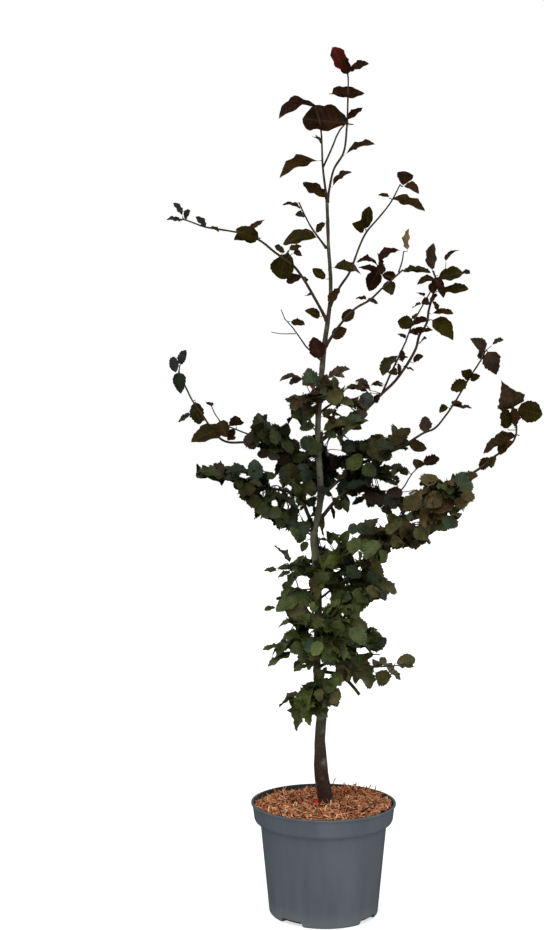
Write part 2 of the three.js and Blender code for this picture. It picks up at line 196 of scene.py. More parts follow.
# Thinner side shoots of those limbs, in the same terms.
SIDE_SHOOTS = {
    "leader_mid": ((1.9, 1.4), [(-1, 1334, -4), (15, 1369, -2), (28, 1400, 6), (40, 1414, 9)]),
    "left_bare": ((1.9, 0.8),
        [(-2, 986, 2), (-29, 1010, 12), (-41, 1027, 18), (-60, 1053, 28), (-78, 1073, 36), (-76, 1079, 38)]),
    "left_bare_side": ((1.1, 0.7), [(-50, 1036, 23), (-78, 1036, 30), (-94, 1039, 34)]),
    "mid_side": ((1.4, 0.8), [(125, 1135, -99), (105, 1144, -92), (101, 1162, -88)]),
    "right_dry": ((1.5, 1.1), [(135, 1146, -104), (142, 1168, -104), (144, 1184, -103)]),
    "right_high_left": ((2.2, 1.3),
        [(105, 928, 102), (119, 960, 106), (129, 981, 112), (143, 1011, 118), (155, 1038, 122),
         (160, 1056, 124), (180, 1089, 132), (192, 1111, 138)]),
    "right_high_tip": ((1.2, 0.7), [(202, 1124, 160), (218, 1144, 168), (220, 1164, 170)]),
    "right_small": ((1.6, 0.9),
        [(128, 742, -60), (143, 758, -66), (158, 783, -72), (168, 794, -74), (183, 801, -76)]),
    "left_wide_low": ((1.9, 0.9),
        [(-100, 844, 75), (-130, 853, 82), (-156, 864, 88), (-179, 871, 92), (-190, 883, 94),
         (-204, 912, 97)]),
    "left_low_1": ((1.6, 0.8), [(-11, 590, 4), (-47, 610, 2), (-85, 615, 4)]),
    "left_low_2": ((1.6, 0.8), [(-10, 578, 4), (-54, 572, -12), (-84, 544, -16)]),
    "left_low_3": ((1.6, 0.8), [(-10, 528, 4), (-36, 520, -18), (-56, 518, -22)]),
    "left_low_4": ((1.6, 0.8), [(-11, 470, 4), (-50, 474, -14), (-78, 471, -18)]),
    "left_low_5": ((1.7, 0.8), [(-7, 396, 4), (-35, 392, -18), (-56, 386, -22)]),
    "right_low_2": ((1.7, 1.1), [(50, 457, 12), (78, 460, 8), (102, 459, 6)]),
}

# Pruned ends: a short stub of wood each, from its foot to its cut, and its radius.
PRUNED = [
    ([(-10, 430, 5), (20, 426, 2), (42, 414, -6), (51, 405, -10), (65, 387, -14)], 3.2),
    ([(-4, 1378, -6), (-9, 1388, -10), (-14, 1392, -12)], 1.5),
]

TWIG_RINGS = 7
TWIG_SIDES = 6
SHOOT_STEP = 8
SHOOT_RADII = (1.3, 0.7)
FEEDER_RADII = (2.8, 1.4)
LOWEST_ROOT = 330  # no bough leaves the stem below this height
BUD_GIRTH = 0.17  # the thickest radius of a bud, as a share of its length
BUD_SHARE = 0.25  # how many leaf axils bear a bud

LEAF_COLUMNS = 4
LEAF_ROWS = 13
STALK_SHARE = 0.08  # how much of a leaf's length is its stalk
STALK_HALF_WIDTH = 0.035  # in half widths of the blade
STALK_RADII = (0.9, 0.6)
STALKLESS = 3  # a leaf that sits this near to its twig has no stalk of its own
RIB_HEIGHT = 0.5  # how far the blade rises and dips by turns, row by row
LEAF_BREADTH = 0.6  # width over length of a beech leaf
SHORTEST_LEAF = 26
WAVES = 2.5  # ripples along a leaf's margin
TEETH_LEVELS = (400, 900, 1200)  # heights, and how deeply the margin is cut there
TEETH_DEPTHS = (0.42, 0.34, 0.12)
OPEN_TEETH = 0.45  # the margins of the leaves that stand clear are smoother
VEIN_PAIRS = 8
VEIN_SLANT = 0.42  # how far up the leaf a side vein runs on its way to the margin
NEAREST = cad_box[0][1] / METRES - 10  # how far forward and back a leaf may reach
FURTHEST = cad_box[1][1] / METRES + 10

# Leaves that stand clear in the open crown, by the limb that bears them. Each has its foot
# (right, height) and its tip's reach from there (right, up), as drawn on the upright sheet, its
# width as seen and its tint. Where they aren't left to chance, its arch, as a share of its length,
# and its taper follow.
OPEN_LEAVES = {
    "leader_right": [
        (43, 1503, -27, 48, 26, "red", 0.05, -0.2), (44, 1500, -8, 32, 21, "umber", 0.04, 0.2),
        (46, 1505, 36, 16, 15, "umber", 0.1), (10, 1467, 64, 1, 22, "umber", 0.04, 0.4),
        (42, 1419, 29, 23, 13, "maroon"), (54, 1412, -92, 10, 48, "umber", 0.08, -0.3),
        (37, 1356, 56, 20, 11, "bronze", 0.06), (15, 1299, 37, 27, 11, "bronze"),
    ],
    "leader_left": [
        (-3, 1440, -77, -18, 20, "maroon", 0.19, 0.1), (-6, 1381, -12, 8, 6, "tan"),
        (-6, 1347, -73, -32, 25, "bronze", 0.09, 0.5),
    ],
    "trunk": [
        (7, 1279, -44, 29, 21, "bronze", -0.05), (5, 1236, -18, -18, 13, "bronze"),
        (5, 1134, -25, 19, 17, "olive"), (14, 1154, 54, -12, 18, "olive", 0.14),
        (12, 1087, 18, 32, 17, "bronze"), (5, 955, 43, 17, 15, "bronze"),
        (-34, 953, -45, -3, 9, "bronze", 0.12), (-36, 954, -26, -8, 13, "umber"),
        (-33, 965, 14, -10, 9, "maroon"), (-10, 938, -19, 36, 27, "pine"), (-12, 911, -58, 7, 25, "pine"),
        (-13, 896, -46, -10, 24, "moss"), (-15, 870, -28, -5, 17, "olive"),
        (-11, 816, -17, 38, 26, "moss"), (-17, 566, -66, -22, 30, "moss", 0.1),
        (15, 390, 11, -24, 13, "moss"),
    ],
    "left_twig": [
        (-39, 1257, -36, 10, 7, "bronze", 0.12), (-34, 1249, -17, 0, 13, "bronze"),
        (-7, 1208, -66, -11, 25, "olive", 0.1),
    ],
    "right_rising": [
        (142, 1300, 4, 28, 28, "maroon", 0.04, -0.5), (143, 1300, 29, -13, 16, "bronze", 0.35),
        (118, 1279, 65, -23, 19, "bronze", 0.08), (119, 1280, -20, 6, 8, "bronze"),
        (75, 1222, 8, 43, 22, "olive"), (75, 1224, -24, 10, 27, "olive"),
    ],
    "left_long": [
        (-254, 1239, -28, 1, 8, "slate"), (-253, 1247, -17, 24, 10, "slate"),
        (-251, 1244, 12, 13, 12, "slate"), (-210, 1227, -20, 19, 12, "slate"),
        (-207, 1227, 19, -9, 7, "bronze"), (-113, 1208, -45, 15, 29, "olive"),
        (-133, 1223, 28, 18, 9, "bronze"), (-115, 1207, -46, -3, 19, "olive"),
        (-61, 1186, -16, -52, 42, "olive"), (-37, 1137, -30, -8, 16, "maroon"),
        (-18, 1105, -13, -1, 7, "bronze"), (-4, 1066, -30, 11, 17, "bronze"),
        (-69, 1184, -19, 9, 11, "bronze"), (-63, 1186, 24, 8, 11, "bronze"),
        (-56, 1180, 17, -2, 13, "bronze"), (-30, 1128, -12, 12, 7, "bronze"),
    ],
    "left_bare": [(-60, 1058, 27, -6, 13, "bronze"), (-2, 989, -17, 41, 30, "maroon")],
    "right_mid": [
        (13, 1027, 29, 18, 22, "bronze"), (33, 1055, 22, 24, 21, "bronze"),
        (78, 1095, 20, -4, 9, "bronze"), (78, 1097, -20, 3, 7, "bronze"), (102, 1117, 27, 1, 25, "moss"),
        (139, 1147, 40, 6, 9, "moss"), (140, 1145, 53, 0, 8, "moss"),
    ],
    "mid_side": [
        (102, 1150, -20, -38, 29, "maroon"), (100, 1163, 38, 22, 16, "maroon", 0.14),
        (100, 1154, -41, 9, 9, "maroon", 0.2), (103, 1141, 27, 0, 18, "maroon"),
        (100, 1147, -38, 7, 11, "maroon"), (100, 1150, -4, 32, 9, "maroon"),
        (110, 1160, -15, -17, 17, "maroon"),
    ],
    "right_dry": [(151, 1184, 3, 41, 12, "tan")],
    "right_high": [
        (196, 1147, 2, 52, 21, "plum"), (203, 1134, 48, 11, 26, "olive", 0.04, -0.3),
        (246, 1145, 18, -1, 10, "bronze"), (206, 1111, 55, 5, 17, "olive", 0.03, -0.3),
        (202, 1134, -34, -10, 14, "bronze", 0.2), (203, 1133, 14, -14, 20, "umber"),
        (197, 1042, -44, -6, 11, "umber"), (206, 1140, -8, -30, 12, "bronze"),
        (203, 1110, -12, -22, 9, "bronze"), (200, 1130, -4, -22, 18, "umber"),
        (208, 1138, -6, -18, 15, "bronze"), (208, 1126, 8, -26, 16, "bronze"),
        (193, 1071, 41, 0, 11, "bronze", 0.06), (191, 1062, 42, -38, 34, "green", 0.04, 0.4),
        (192, 1059, -36, -12, 14, "umber", 0.12), (168, 1036, 28, 5, 9, "bronze"),
        (171, 1036, -15, 3, 13, "bronze"), (174, 1018, 12, 9, 4, "bronze"),
        (161, 983, 19, 13, 13, "bronze"), (196, 1096, 10, -22, 10, "bronze"),
    ],
    "right_high_tip": [(219, 1164, 26, 22, 8, "maroon", 0.12)],
    "right_high_left": [
        (181, 1102, -15, 7, 6, "bronze"), (190, 1096, -14, -6, 17, "umber"),
        (177, 1089, -16, -7, 5, "bronze"), (163, 1057, -30, 1, 25, "olive"),
        (163, 1061, 5, 12, 10, "bronze"), (137, 998, -30, -38, 20, "moss", 0.12),
        (133, 970, -17, -5, 16, "olive"), (133, 985, 2, -26, 8, "bronze"), (138, 989, 10, 7, 13, "olive"),
        (140, 978, 23, -9, 4, "bronze"), (111, 943, -26, -1, 6, "bronze", 0.15),
        (84, 934, -28, 13, 8, "bronze", 0.1), (84, 929, -43, 8, 11, "maroon"),
        (148, 1026, -12, 10, 9, "bronze"), (143, 985, -4, 22, 12, "bronze"),
    ],
    "left_wide": [
        (-257, 978, 10, 29, 17, "slate"), (-264, 964, -6, 31, 19, "slate"),
        (-261, 969, 5, -41, 27, "pine"), (-231, 917, 9, -44, 29, "moss"),
        (-237, 893, -24, -16, 10, "pine"), (-173, 843, 13, 9, 11, "moss"),
        (-145, 843, 24, -12, 15, "umber"),
    ],
    "left_wide_low": [
        (-176, 868, -62, -27, 33, "olive"), (-188, 880, 14, -30, 28, "bronze"),
        (-200, 904, -10, 9, 9, "maroon"), (-157, 870, -2, 19, 28, "bronze"),
        (-110, 844, -8, 50, 34, "moss"), (-69, 846, 5, 29, 17, "pine"), (-158, 866, -14, -18, 16, "umber"),
    ],
    "right_arch": [
        (293, 1006, -30, 21, 22, "plum", 0.05, 0.4), (302, 1014, 22, 11, 8, "plum"),
        (293, 1007, 18, -45, 32, "plum", 0.04, 0.55), (284, 986, 5, 28, 12, "umber"),
        (263, 953, 19, 8, 15, "olive"), (266, 958, -19, 11, 20, "olive"),
        (258, 952, -29, -18, 22, "olive"), (226, 903, -18, -7, 14, "olive"),
        (228, 906, 40, -4, 7, "bronze"), (229, 908, 20, 4, 9, "bronze"), (179, 857, 4, 31, 22, "plum"),
        (120, 829, 35, 38, 25, "moss"), (150, 838, 36, -9, 21, "bronze"),
    ],
    "right_small": [
        (165, 792, 6, 18, 20, "bronze"), (177, 799, 31, 14, 20, "maroon"), (154, 788, -20, 3, 15, "olive"),
    ],
    "right_far": [
        (275, 784, -16, -2, 16, "bronze"), (303, 814, -22, -22, 19, "bronze"),
        (353, 853, -66, -33, 20, "bronze", 0.1), (313, 817, 28, 26, 18, "bronze"),
        (332, 863, -9, 39, 22, "olive"), (342, 900, -23, 53, 46, "rust", 0.05, 0.8),
        (346, 901, 48, -10, 36, "olive", 0.05, -0.25), (308, 818, -6, -24, 14, "moss"),
        (344, 866, -6, 38, 15, "bronze"), (341, 905, -29, 0, 11, "rust"),
    ],
    "left_low_1": [
        (-82, 610, -25, 0, 10, "moss", 0.05, 0.3), (-59, 614, -22, 2, 11, "moss"),
        (-57, 607, -25, -9, 9, "moss"), (-42, 609, -21, -30, 17, "moss", 0.08),
        (-58, 622, -32, 33, 9, "moss", 0.04, -0.4),
    ],
    "left_low_2": [(-72, 558, -12, -1, 9, "moss"), (-85, 545, -21, -7, 9, "moss")],
    "left_low_3": [(-46, 522, -36, -15, 9, "moss"), (-33, 496, -40, -9, 14, "moss")],
    "left_low_4": [
        (-69, 473, -40, -6, 8, "moss"), (-50, 467, -50, -30, 13, "moss"), (-20, 453, -33, -20, 13, "moss"),
        (-12, 448, -18, -14, 10, "moss"),
    ],
    "left_low_5": [
        (-40, 391, -39, -27, 8, "bronze"), (-52, 384, -22, -14, 8, "umber"),
        (-26, 386, -21, -66, 27, "moss", 0.05, 0.3), (-19, 384, -4, -53, 24, "green", 0.05, 0.2),
        (-11, 410, -28, -24, 18, "slate"),
    ],
    "right_low_2": [(82, 466, 31, 24, 25, "pine", 0.04, -0.1)],
    "bottom_twig": [
        (91, 428, 25, -19, 31, "olive"), (104, 445, 35, -31, 13, "olive"), (128, 443, 37, 10, 23, "olive"),
        (133, 439, 30, -2, 9, "olive"), (63, 445, 23, -46, 26, "moss"), (90, 434, 8, 14, 20, "olive"),
        (100, 443, 14, 6, 18, "olive"),
    ],
}

# Of the leaves that are placed one by one, all those above this height stand in the open, in full
# light, and so do the open crown's leaves on every limb that isn't listed here. All these take
# the darker copies of their tints, as painted shade that offsets the full light.
OPEN_ABOVE = 960
SHADED_LIMBS = [
    "trunk", "left_low_1", "left_low_2", "left_low_3", "left_low_4", "left_low_5", "right_low_2",
    "bottom_twig",
]

# The sheet is ruled in small squares, and the middle of the pot's foot is at this column and row.
RULING = 1.797
RULED_FOOT = (323.4, 910.2)

# Leaves at the edge and on the face of the dense crown, on the sheet's ruling: the column and row
# of the foot and of the tip, the width in columns, and the tint. The nearest twig bears each.
# Some tints here are copies with painted shade: dimmed in the shaded upper tiers, darker for full light.
CROWN_LEAVES = [
    # round the middle of the stem
    (324, 399, 344, 394, 15, "olive"), (338, 400, 354, 405, 9, "olive"), (352, 420, 368, 414, 10, "umber"),
    (369, 390, 346, 387, 6, "bronze"), (369, 385, 355, 381, 5, "bronze"),
    (384, 387, 371, 385, 3, "bronze"), (345, 424, 367, 413, 14, "umber"),
    (348, 422, 362, 429, 11, "umber"), (322, 417, 335, 410, 8, "ochre"), (322, 431, 346, 425, 10, "olive"),
    (323, 433, 337, 437, 8, "moss"), (335, 432, 346, 434, 6, "umber"), (338, 424, 328, 420, 4, "umber"),
    (311, 452, 304, 436, 13, "pine_dim"), (321, 386, 327, 374, 9, "umber"),
    (337, 389, 333, 376, 7, "olive"), (371, 392, 360, 409, 14, "slate"), (374, 402, 380, 394, 8, "umber"),
    (325, 417, 336, 423, 6, "umber"),
    # the crotch
    (325, 515, 325, 539, 5, "olive"), (318, 541, 327, 541, 3, "bronze"), (328, 542, 341, 539, 4, "moss"),
    (307, 520, 303, 535, 10, "pine"), (342, 489, 358, 495, 9, "umber"), (349, 484, 363, 491, 9, "moss"),
    # the left upper tier
    (291, 462, 283, 483, 12, "pine"), (267, 455, 280, 458, 8, "umber"), (266, 440, 257, 414, 17, "moss"),
    (258, 482, 254, 459, 15, "jade"), (283, 443, 287, 423, 10, "pine"), (262, 440, 243, 442, 9, "umber"),
    (258, 442, 250, 449, 7, "umber"), (276, 446, 272, 429, 12, "moss"), (288, 452, 298, 441, 13, "umber"),
    (272, 452, 257, 455, 10, "umber"), (224, 477, 198, 471, 10, "moss"), (222, 478, 214, 463, 9, "bronze"),
    (225, 479, 203, 476, 9, "olive"), (226, 477, 222, 486, 6, "umber"), (248, 470, 226, 473, 10, "pine"),
    (241, 474, 232, 467, 8, "moss"), (252, 489, 233, 484, 11, "ochre"), (258, 489, 238, 492, 12, "olive"),
    (263, 500, 245, 500, 13, "olive"), (270, 506, 254, 512, 12, "moss"), (274, 508, 261, 517, 10, "moss"),
    (281, 508, 270, 518, 12, "moss"), (287, 510, 278, 527, 14, "moss"), (295, 520, 288, 531, 9, "pine"),
    (303, 520, 304, 538, 15, "pine"), (306, 532, 297, 543, 9, "moss"), (306, 541, 302, 552, 8, "moss"),
    (300, 462, 306, 482, 14, "pine"), (290, 455, 279, 464, 14, "umber"), (262, 470, 246, 476, 9, "jade"),
    (334, 498, 315, 489, 7, "slate"), (313, 478, 300, 472, 13, "jade"),
    # the right upper tier
    (356, 452, 345, 440, 13, "pine"), (372, 462, 382, 434, 20, "ochre_deep"),
    (366, 452, 360, 441, 10, "moss"), (392, 458, 378, 452, 12, "olive"), (345, 470, 362, 454, 15, "green"),
    (345, 477, 342, 498, 13, "jade"), (372, 475, 396, 469, 8, "olive_dim"),
    (376, 475, 396, 479, 9, "olive_dim"), (404, 470, 391, 466, 7, "umber_dim"),
    (353, 494, 377, 489, 7, "rust_dim"), (360, 494, 386, 504, 12, "umber_dim"),
    (388, 490, 396, 509, 15, "pine_dim"), (382, 505, 392, 517, 9, "umber_dim"),
    (374, 498, 397, 506, 12, "umber_dim"), (394, 496, 409, 506, 12, "olive_dim"),
    (400, 513, 411, 501, 10, "bronze_dim"), (399, 515, 416, 509, 5, "umber_dim"),
    (341, 494, 350, 504, 9, "pine_dim"), (317, 496, 308, 507, 8, "pine_dim"),
    (315, 507, 306, 500, 7, "umber_dim"), (330, 506, 334, 520, 4, "umber_dim"),
    (366, 498, 352, 505, 7, "moss_dim"), (345, 498, 348, 513, 9, "moss"), (331, 497, 342, 509, 9, "moss"),
    (362, 466, 376, 476, 14, "moss"), (330, 458, 339, 468, 12, "umber"),
    (404, 492, 386, 492, 11, "umber_dim"), (380, 478, 372, 470, 12, "moss"),
    # the right outer tier
    (428, 488, 430, 474, 17, "ochre"), (446, 491, 447, 480, 5, "moss"), (457, 488, 465, 472, 14, "pine"),
    (466, 477, 478, 476, 8, "bronze"), (458, 491, 472, 482, 13, "moss"), (460, 494, 475, 498, 10, "ochre"),
    (452, 503, 468, 504, 10, "ochre"), (446, 513, 462, 508, 8, "moss"), (441, 516, 458, 526, 13, "pine"),
    (438, 520, 447, 531, 11, "moss"), (418, 522, 435, 530, 14, "olive"), (414, 527, 429, 540, 13, "olive"),
    (403, 536, 417, 549, 10, "umber"), (394, 533, 399, 547, 11, "olive"),
    (406, 508, 421, 491, 18, "ochre"), (424, 508, 441, 492, 16, "ochre"), (430, 514, 456, 500, 15, "rust"),
    (412, 512, 405, 496, 13, "olive"), (398, 520, 412, 532, 17, "ochre"),
    (420, 506, 432, 520, 15, "ochre"), (386, 514, 398, 522, 10, "olive"),
    # the right lower tier and the core
    (366, 535, 372, 519, 15, "pine"), (352, 536, 354, 523, 11, "pine"), (362, 536, 361, 522, 9, "pine"),
    (340, 542, 350, 530, 10, "moss"), (330, 546, 334, 532, 7, "moss"), (378, 549, 385, 563, 8, "moss"),
    (370, 564, 383, 577, 11, "olive"), (372, 584, 397, 592, 11, "olive"),
    (364, 588, 381, 597, 10, "olive"), (350, 592, 369, 602, 12, "moss"), (343, 606, 359, 619, 12, "moss"),
    (350, 620, 368, 629, 12, "olive"), (348, 628, 366, 645, 15, "moss"), (322, 563, 343, 560, 15, "green"),
    (345, 566, 361, 577, 13, "pine"), (366, 570, 379, 585, 13, "pine"), (328, 599, 352, 598, 12, "moss"),
    (311, 622, 327, 624, 10, "green"), (340, 618, 336, 632, 14, "moss"), (352, 634, 360, 648, 15, "jade"),
    (384, 530, 398, 528, 11, "olive"), (356, 545, 372, 548, 14, "green"), (380, 540, 366, 560, 14, "moss"),
    (330, 572, 318, 584, 13, "moss"), (320, 575, 312, 590, 12, "olive"),
    # the low left side and the foot of the crown
    (308, 596, 294, 608, 15, "moss"), (318, 676, 322, 690, 9, "moss"), (333, 672, 340, 686, 12, "green"),
    (326, 666, 324, 679, 5, "moss"), (340, 690, 331, 704, 10, "olive"), (305, 634, 283, 639, 9, "moss"),
    (300, 599, 276, 612, 13, "moss"), (318, 650, 335, 664, 14, "jade"), (338, 658, 350, 681, 17, "pine"),
    (350, 656, 369, 669, 14, "olive"), (354, 670, 370, 688, 10, "olive"), (351, 664, 356, 684, 9, "olive"),
    (334, 666, 350, 680, 12, "olive"), (345, 668, 338, 682, 12, "umber"), (322, 690, 339, 682, 13, "moss"),
    (322, 693, 341, 693, 13, "olive"), (325, 697, 338, 706, 9, "olive"), (318, 640, 304, 650, 13, "jade"),
    (305, 646, 290, 652, 12, "moss"), (312, 658, 298, 660, 9, "moss"), (330, 676, 334, 690, 10, "moss"),
    (288, 580, 284, 590, 9, "moss"), (330, 700, 322, 708, 9, "moss"),
]

# Where the sky shows through the dense crown and round it, on the sheet's ruling: the column and
# row of the middle of each gap, its half width and its half height.
SKY_GAPS = [
    # round the middle of the stem
    (290, 366, 13, 6), (290, 391, 14, 3), (288, 372, 8, 3), (353, 393, 9, 4), (341, 382, 5, 4),
    (362, 374, 14, 4), (380, 414, 11, 12), (372, 428, 10, 5), (358, 435, 12, 4), (345, 411, 7, 4),
    (329, 404, 5, 2), (330, 424, 4, 3), (323, 424, 2, 5), (334, 446, 6, 8), (278, 410, 10, 14),
    (294, 430, 6, 9), (309, 433, 6, 1.5), (301, 441, 1.5, 5), (322, 410, 1.5, 5), (332, 405, 4, 2),
    (325, 440, 2, 3), (314, 419, 1.5, 4), (339, 453, 1.5, 4), (290, 381, 12, 5), (344, 365, 10, 3),
    (298, 390, 14, 4), (360, 384, 14, 5), (350, 381, 6, 5), (385, 392, 6, 8), (372, 388, 8, 4),
    (378, 407, 6, 6),
    # the left upper tier
    (270, 466, 5, 5), (274, 485, 4, 6), (263, 493, 2, 3), (289, 488, 2, 3), (287, 506, 2, 3),
    (275, 503, 3, 2), (245, 476, 4, 2), (303, 449, 3, 2), (311, 460, 3, 2), (305, 514, 5, 5),
    (309, 508, 3, 3), (308, 548, 2, 11), (313, 501, 2, 2), (324, 503, 2, 3), (333, 491, 2, 4),
    (327, 512, 4, 3), (322, 532, 2, 6), (230, 501, 9, 10), (243, 512, 9, 8), (262, 525, 10, 6),
    (268, 533, 9, 8), (282, 540, 10, 9), (292, 549, 8, 8), (240, 456, 8, 6), (256, 453, 3, 4),
    (262, 459, 3, 3), (228, 461, 6, 4), (244, 462, 3, 4), (265, 463, 2, 2), (279, 491, 1.5, 2),
    (291, 497, 1.5, 1.2), (339, 470, 2, 2), (339, 482, 1.2, 1.2),
    # the right upper tier and the great gap under it
    (340, 524, 10, 10), (361, 513, 11, 7), (358, 502, 5, 5), (376, 514, 5, 3), (384, 522, 4, 5),
    (394, 511, 2, 3), (355, 533, 4, 2), (332, 545, 5, 4), (322, 544, 3, 2), (376, 482, 4, 2),
    (387, 487, 8, 3), (411, 485, 7, 5), (403, 475, 5, 5), (398, 457, 10, 5), (411, 455, 6, 5),
    (384, 428, 6, 6), (387, 466, 5, 4), (408, 464, 5, 5), (366, 462, 4, 2), (424, 471, 10, 3),
    # the right outer tier
    (446, 474, 5, 6), (440, 468, 7, 7), (458, 465, 12, 5), (479, 488, 7, 12), (475, 511, 9, 9),
    (455, 508, 3, 3), (416, 523, 5, 2), (464, 524, 6, 8), (440, 537, 10, 5), (403, 558, 16, 8),
    (393, 570, 9, 10), (428, 551, 10, 6),
    # the core and the low left side
    (302, 584, 8.5, 7), (325, 596, 4, 7), (320, 666, 2, 4), (328, 672, 2, 5), (317.5, 634, 1.5, 3),
    (319, 612, 2, 3), (317.5, 604, 1.5, 1.5), (310.5, 632, 1.5, 2.5), (313.5, 564.5, 1.5, 1.5),
    (334, 569, 1.5, 1.2), (339, 569, 1.5, 1.2), (344, 577, 1.5, 1.2), (347.5, 585, 1.5, 1.5),
    (359.5, 570, 1.5, 1.5), (356, 556, 1.5, 2.5), (342, 616, 1.2, 1.2), (287, 556, 9, 6), (281, 570, 8, 2),
    (286, 577, 3, 3), (292, 573.5, 4, 1.5), (274, 583, 8, 9), (291, 593, 3, 2), (286, 597, 3, 2.5),
    (281, 601, 3, 2.5), (278, 607, 2, 4), (281, 618, 7, 4), (289.5, 655, 3, 3.5), (284, 659, 5, 3),
    (380, 608, 12, 6), (372, 617, 8, 7), (383, 622, 9, 9), (288, 630, 7, 6), (272, 637, 10, 6),
    (268, 622, 9, 8), (292, 655, 5, 3), (281, 671, 10, 9), (302, 676, 12, 5), (308, 672, 6, 3),
    (362, 651, 6, 2), (383, 657, 10, 4), (284, 716, 8, 16), (337, 713, 8, 6), (347, 691, 5, 9),
    (262, 600, 18, 62), (272, 553, 9, 9), (286, 684, 14, 9), (205, 459, 13, 5), (215, 488, 19, 7),
    (320, 730, 30, 12), (346, 704, 6, 8), (398, 600, 10, 5), (390, 645, 9, 9),
]

# Stretches of the stem that show from the front, with nothing hanging before them.
STEM_SHOWS = [(178, 352), (620, 704), (724, 742), (764, 872), (1042, 1286)]
STEM_CLEARANCE = -2  # from the stem's edge: negative, because a leaf may lap over it a little
BEFORE_STEM = -4  # what lies further forward can hide the stem

# The masses of dense foliage that are filled by rule: how crowded each is, and its tints.
FOLIAGE = {
    "stem_left_leaves": (0.8, "stem"), "stem_right_leaves": (0.9, "stem"),
    "left_upper_mass": (1.0, "dark"), "left_outer_mass": (1.0, "dark"), "left_lower_mass": (1.0, "dark"),
    "right_upper_mass": (1.0, "dark"), "right_outer_mass": (1.1, "outer"), "right_lower_mass": (1.0, "outer"),
    "core_right_mass": (1.0, "low"), "left_spray_mass": (0.6, "low"), "core_left_mass": (1.0, "low"),
    "low_right_mass": (1.0, "low"), "bottom_mass": (1.0, "low"), "back_upper_mass": (1.0, "dark"),
    "back_lower_mass": (1.0, "low"), "front_mass": (0.9, "low"),
}
TINT_SHARES = {
    "stem": {"moss": 4, "olive": 3, "umber": 1, "bronze": 2, "pine": 2},
    "dark": {"pine": 6, "moss": 5, "olive": 3, "umber": 1, "jade": 1},
    "outer": {"ochre": 4, "olive": 4, "umber": 3, "moss": 2, "pine": 2},
    "low": {"moss": 6, "olive": 4, "green": 4, "pine": 2},
}
OUTLINE_MARGIN = 5  # how far a leaf may stand out of the masses' outline
SHOOT_ROOM = 1020  # square millimetres of a mass's surface for each leafy shoot
SHORTEST_SHOOT = 12
LEAF_SPACING = 15
LEAFY_REACH = 85  # how much of a shoot, from its tip back, bears leaves
SAME_TINT = 0.6  # how many leaves of a shoot have its tint; the others' are drawn one by one
LEAF_LENGTH = (49, 8)  # usual length, and how far it varies
LEAF_LIMITS = (30, 74)  # the shortest and the longest, before tries shorten it
TRIES = 16  # how many ways a leaf is tried before it is left out
FRONT_CHOICE = 0.12  # how strongly a leaf on the face of the crown prefers a twig in front
SQUARE = 4  # the crown's cover is judged in squares of this size on the upright sheet
SQUARES_ACROSS = (-75, 90)  # the range of squares that are looked at
SQUARES_UP = (85, 250)
INSET = 2  # how far inside the outline of the dense masses a square is to be covered
SMALL_LEAF = (24, 46)
LONGEST_REACH = 65  # from a small leaf back to the twig that bears it
LONGEST_HANG = 60  # how far before its twig a leaf on the face of the crown may hang

# Each leaf tint: in the shade of the crown, and darker, as painted shade, for leaves in open light.
LEAF_TINTS = {
    "red": ("#5e160f", "#3c0b07"), "maroon": ("#351c15", "#220e06"), "umber": ("#302413", "#241002"),
    "rust": ("#402d1b", "#35271a"), "bronze": ("#34240f", "#2b1c07"), "olive": ("#403d1d", "#261f03"),
    "ochre": ("#473c20", "#38301a"), "moss": ("#3a4420", "#2a250d"), "green": ("#485223", "#2e2902"),
    "jade": ("#2c3d2c", "#1c2a22"), "pine": ("#2b3421", "#191f12"), "slate": ("#30332c", "#252724"),
    "plum": ("#3a2e2f", "#30251a"), "tan": ("#86704f", "#6b5738"),
}
# Painted shade: the leaves of the dark masses keep only this share of their tint's lightness.
PAINTED_SHADE_SHARE = 0.55  # how much of its lightness a leaf of the dark masses keeps
# The shine of the tints as they are, of the dimmed copies with painted shade, and of the darker copies with
# painted shade for full light.
LEAF_SHINE, PAINTED_SHADE_SHINE, PAINTED_DARK_SHINE = 0.2, 0.14, 0.05
# The tone of the bark by height, on the stem and on the limbs.
STEM_TONES = [
    (0, "#29130b"), (235, "#2c160d"), (280, "#2f2316"), (330, "#38331e"), (420, "#45472d"), (640, "#60614c"),
    (740, "#4a4a3b"), (860, "#403f31"), (1040, "#383222"), (1290, "#31281a"),
]
TWIG_TONES = [(0, "#302a1e"), (850, "#2e271b"), (1000, "#34291c"), (1550, "#32261a")]
FINISH_OF_MASS = {part["node"]: part["material_slot"] for part in frame["record"]["subparts"]}


# ---- Small tools ----------------------------------------------------------------------------


def linear(colour):
    """The linear colour of an sRGB hex value."""
    parts = [int(colour[i:i + 2], 16) / 255 for i in (1, 3, 5)]
    return [c / 12.92 if c <= 0.04045 else ((c + 0.055) / 1.055) ** 2.4 for c in parts] + [1.0]


def node(tree, kind, inputs=(), **settings):
    """Adds a shader node: settings are its attributes, and an input is a value, an output of another node,
    or that node itself, whose first live output is meant."""
    made = tree.nodes.new("ShaderNode" + kind)
    for name, value in settings.items():
        setattr(made, name, value)
    for name, value in dict(inputs).items():
        if isinstance(value, bpy.types.Node):
            value = next(output for output in value.outputs if output.enabled)
        if isinstance(value, bpy.types.NodeSocket):
            tree.links.new(value, made.inputs[name])
        else:
            made.inputs[name].default_value = value
    return made


def set_ramp(ramp, *stops):
    """Gives a colour ramp its stops: the position and the linear colour of each."""
    elements = ramp.color_ramp.elements
    while len(elements) < len(stops):
        elements.new(0.5)
    for element, (position, colour) in zip(elements, stops):
        element.position = position
        element.color = colour


def new_material(name):
    """An empty material and its node tree."""
    made = bpy.data.materials.new(name)
    made.use_nodes = True
    made.node_tree.nodes.clear()
    return made, made.node_tree


def per_mm(size):
    """The pattern scale, on Object coordinates in metres, that gives features of a size in millimetres."""
    return 1000 / size


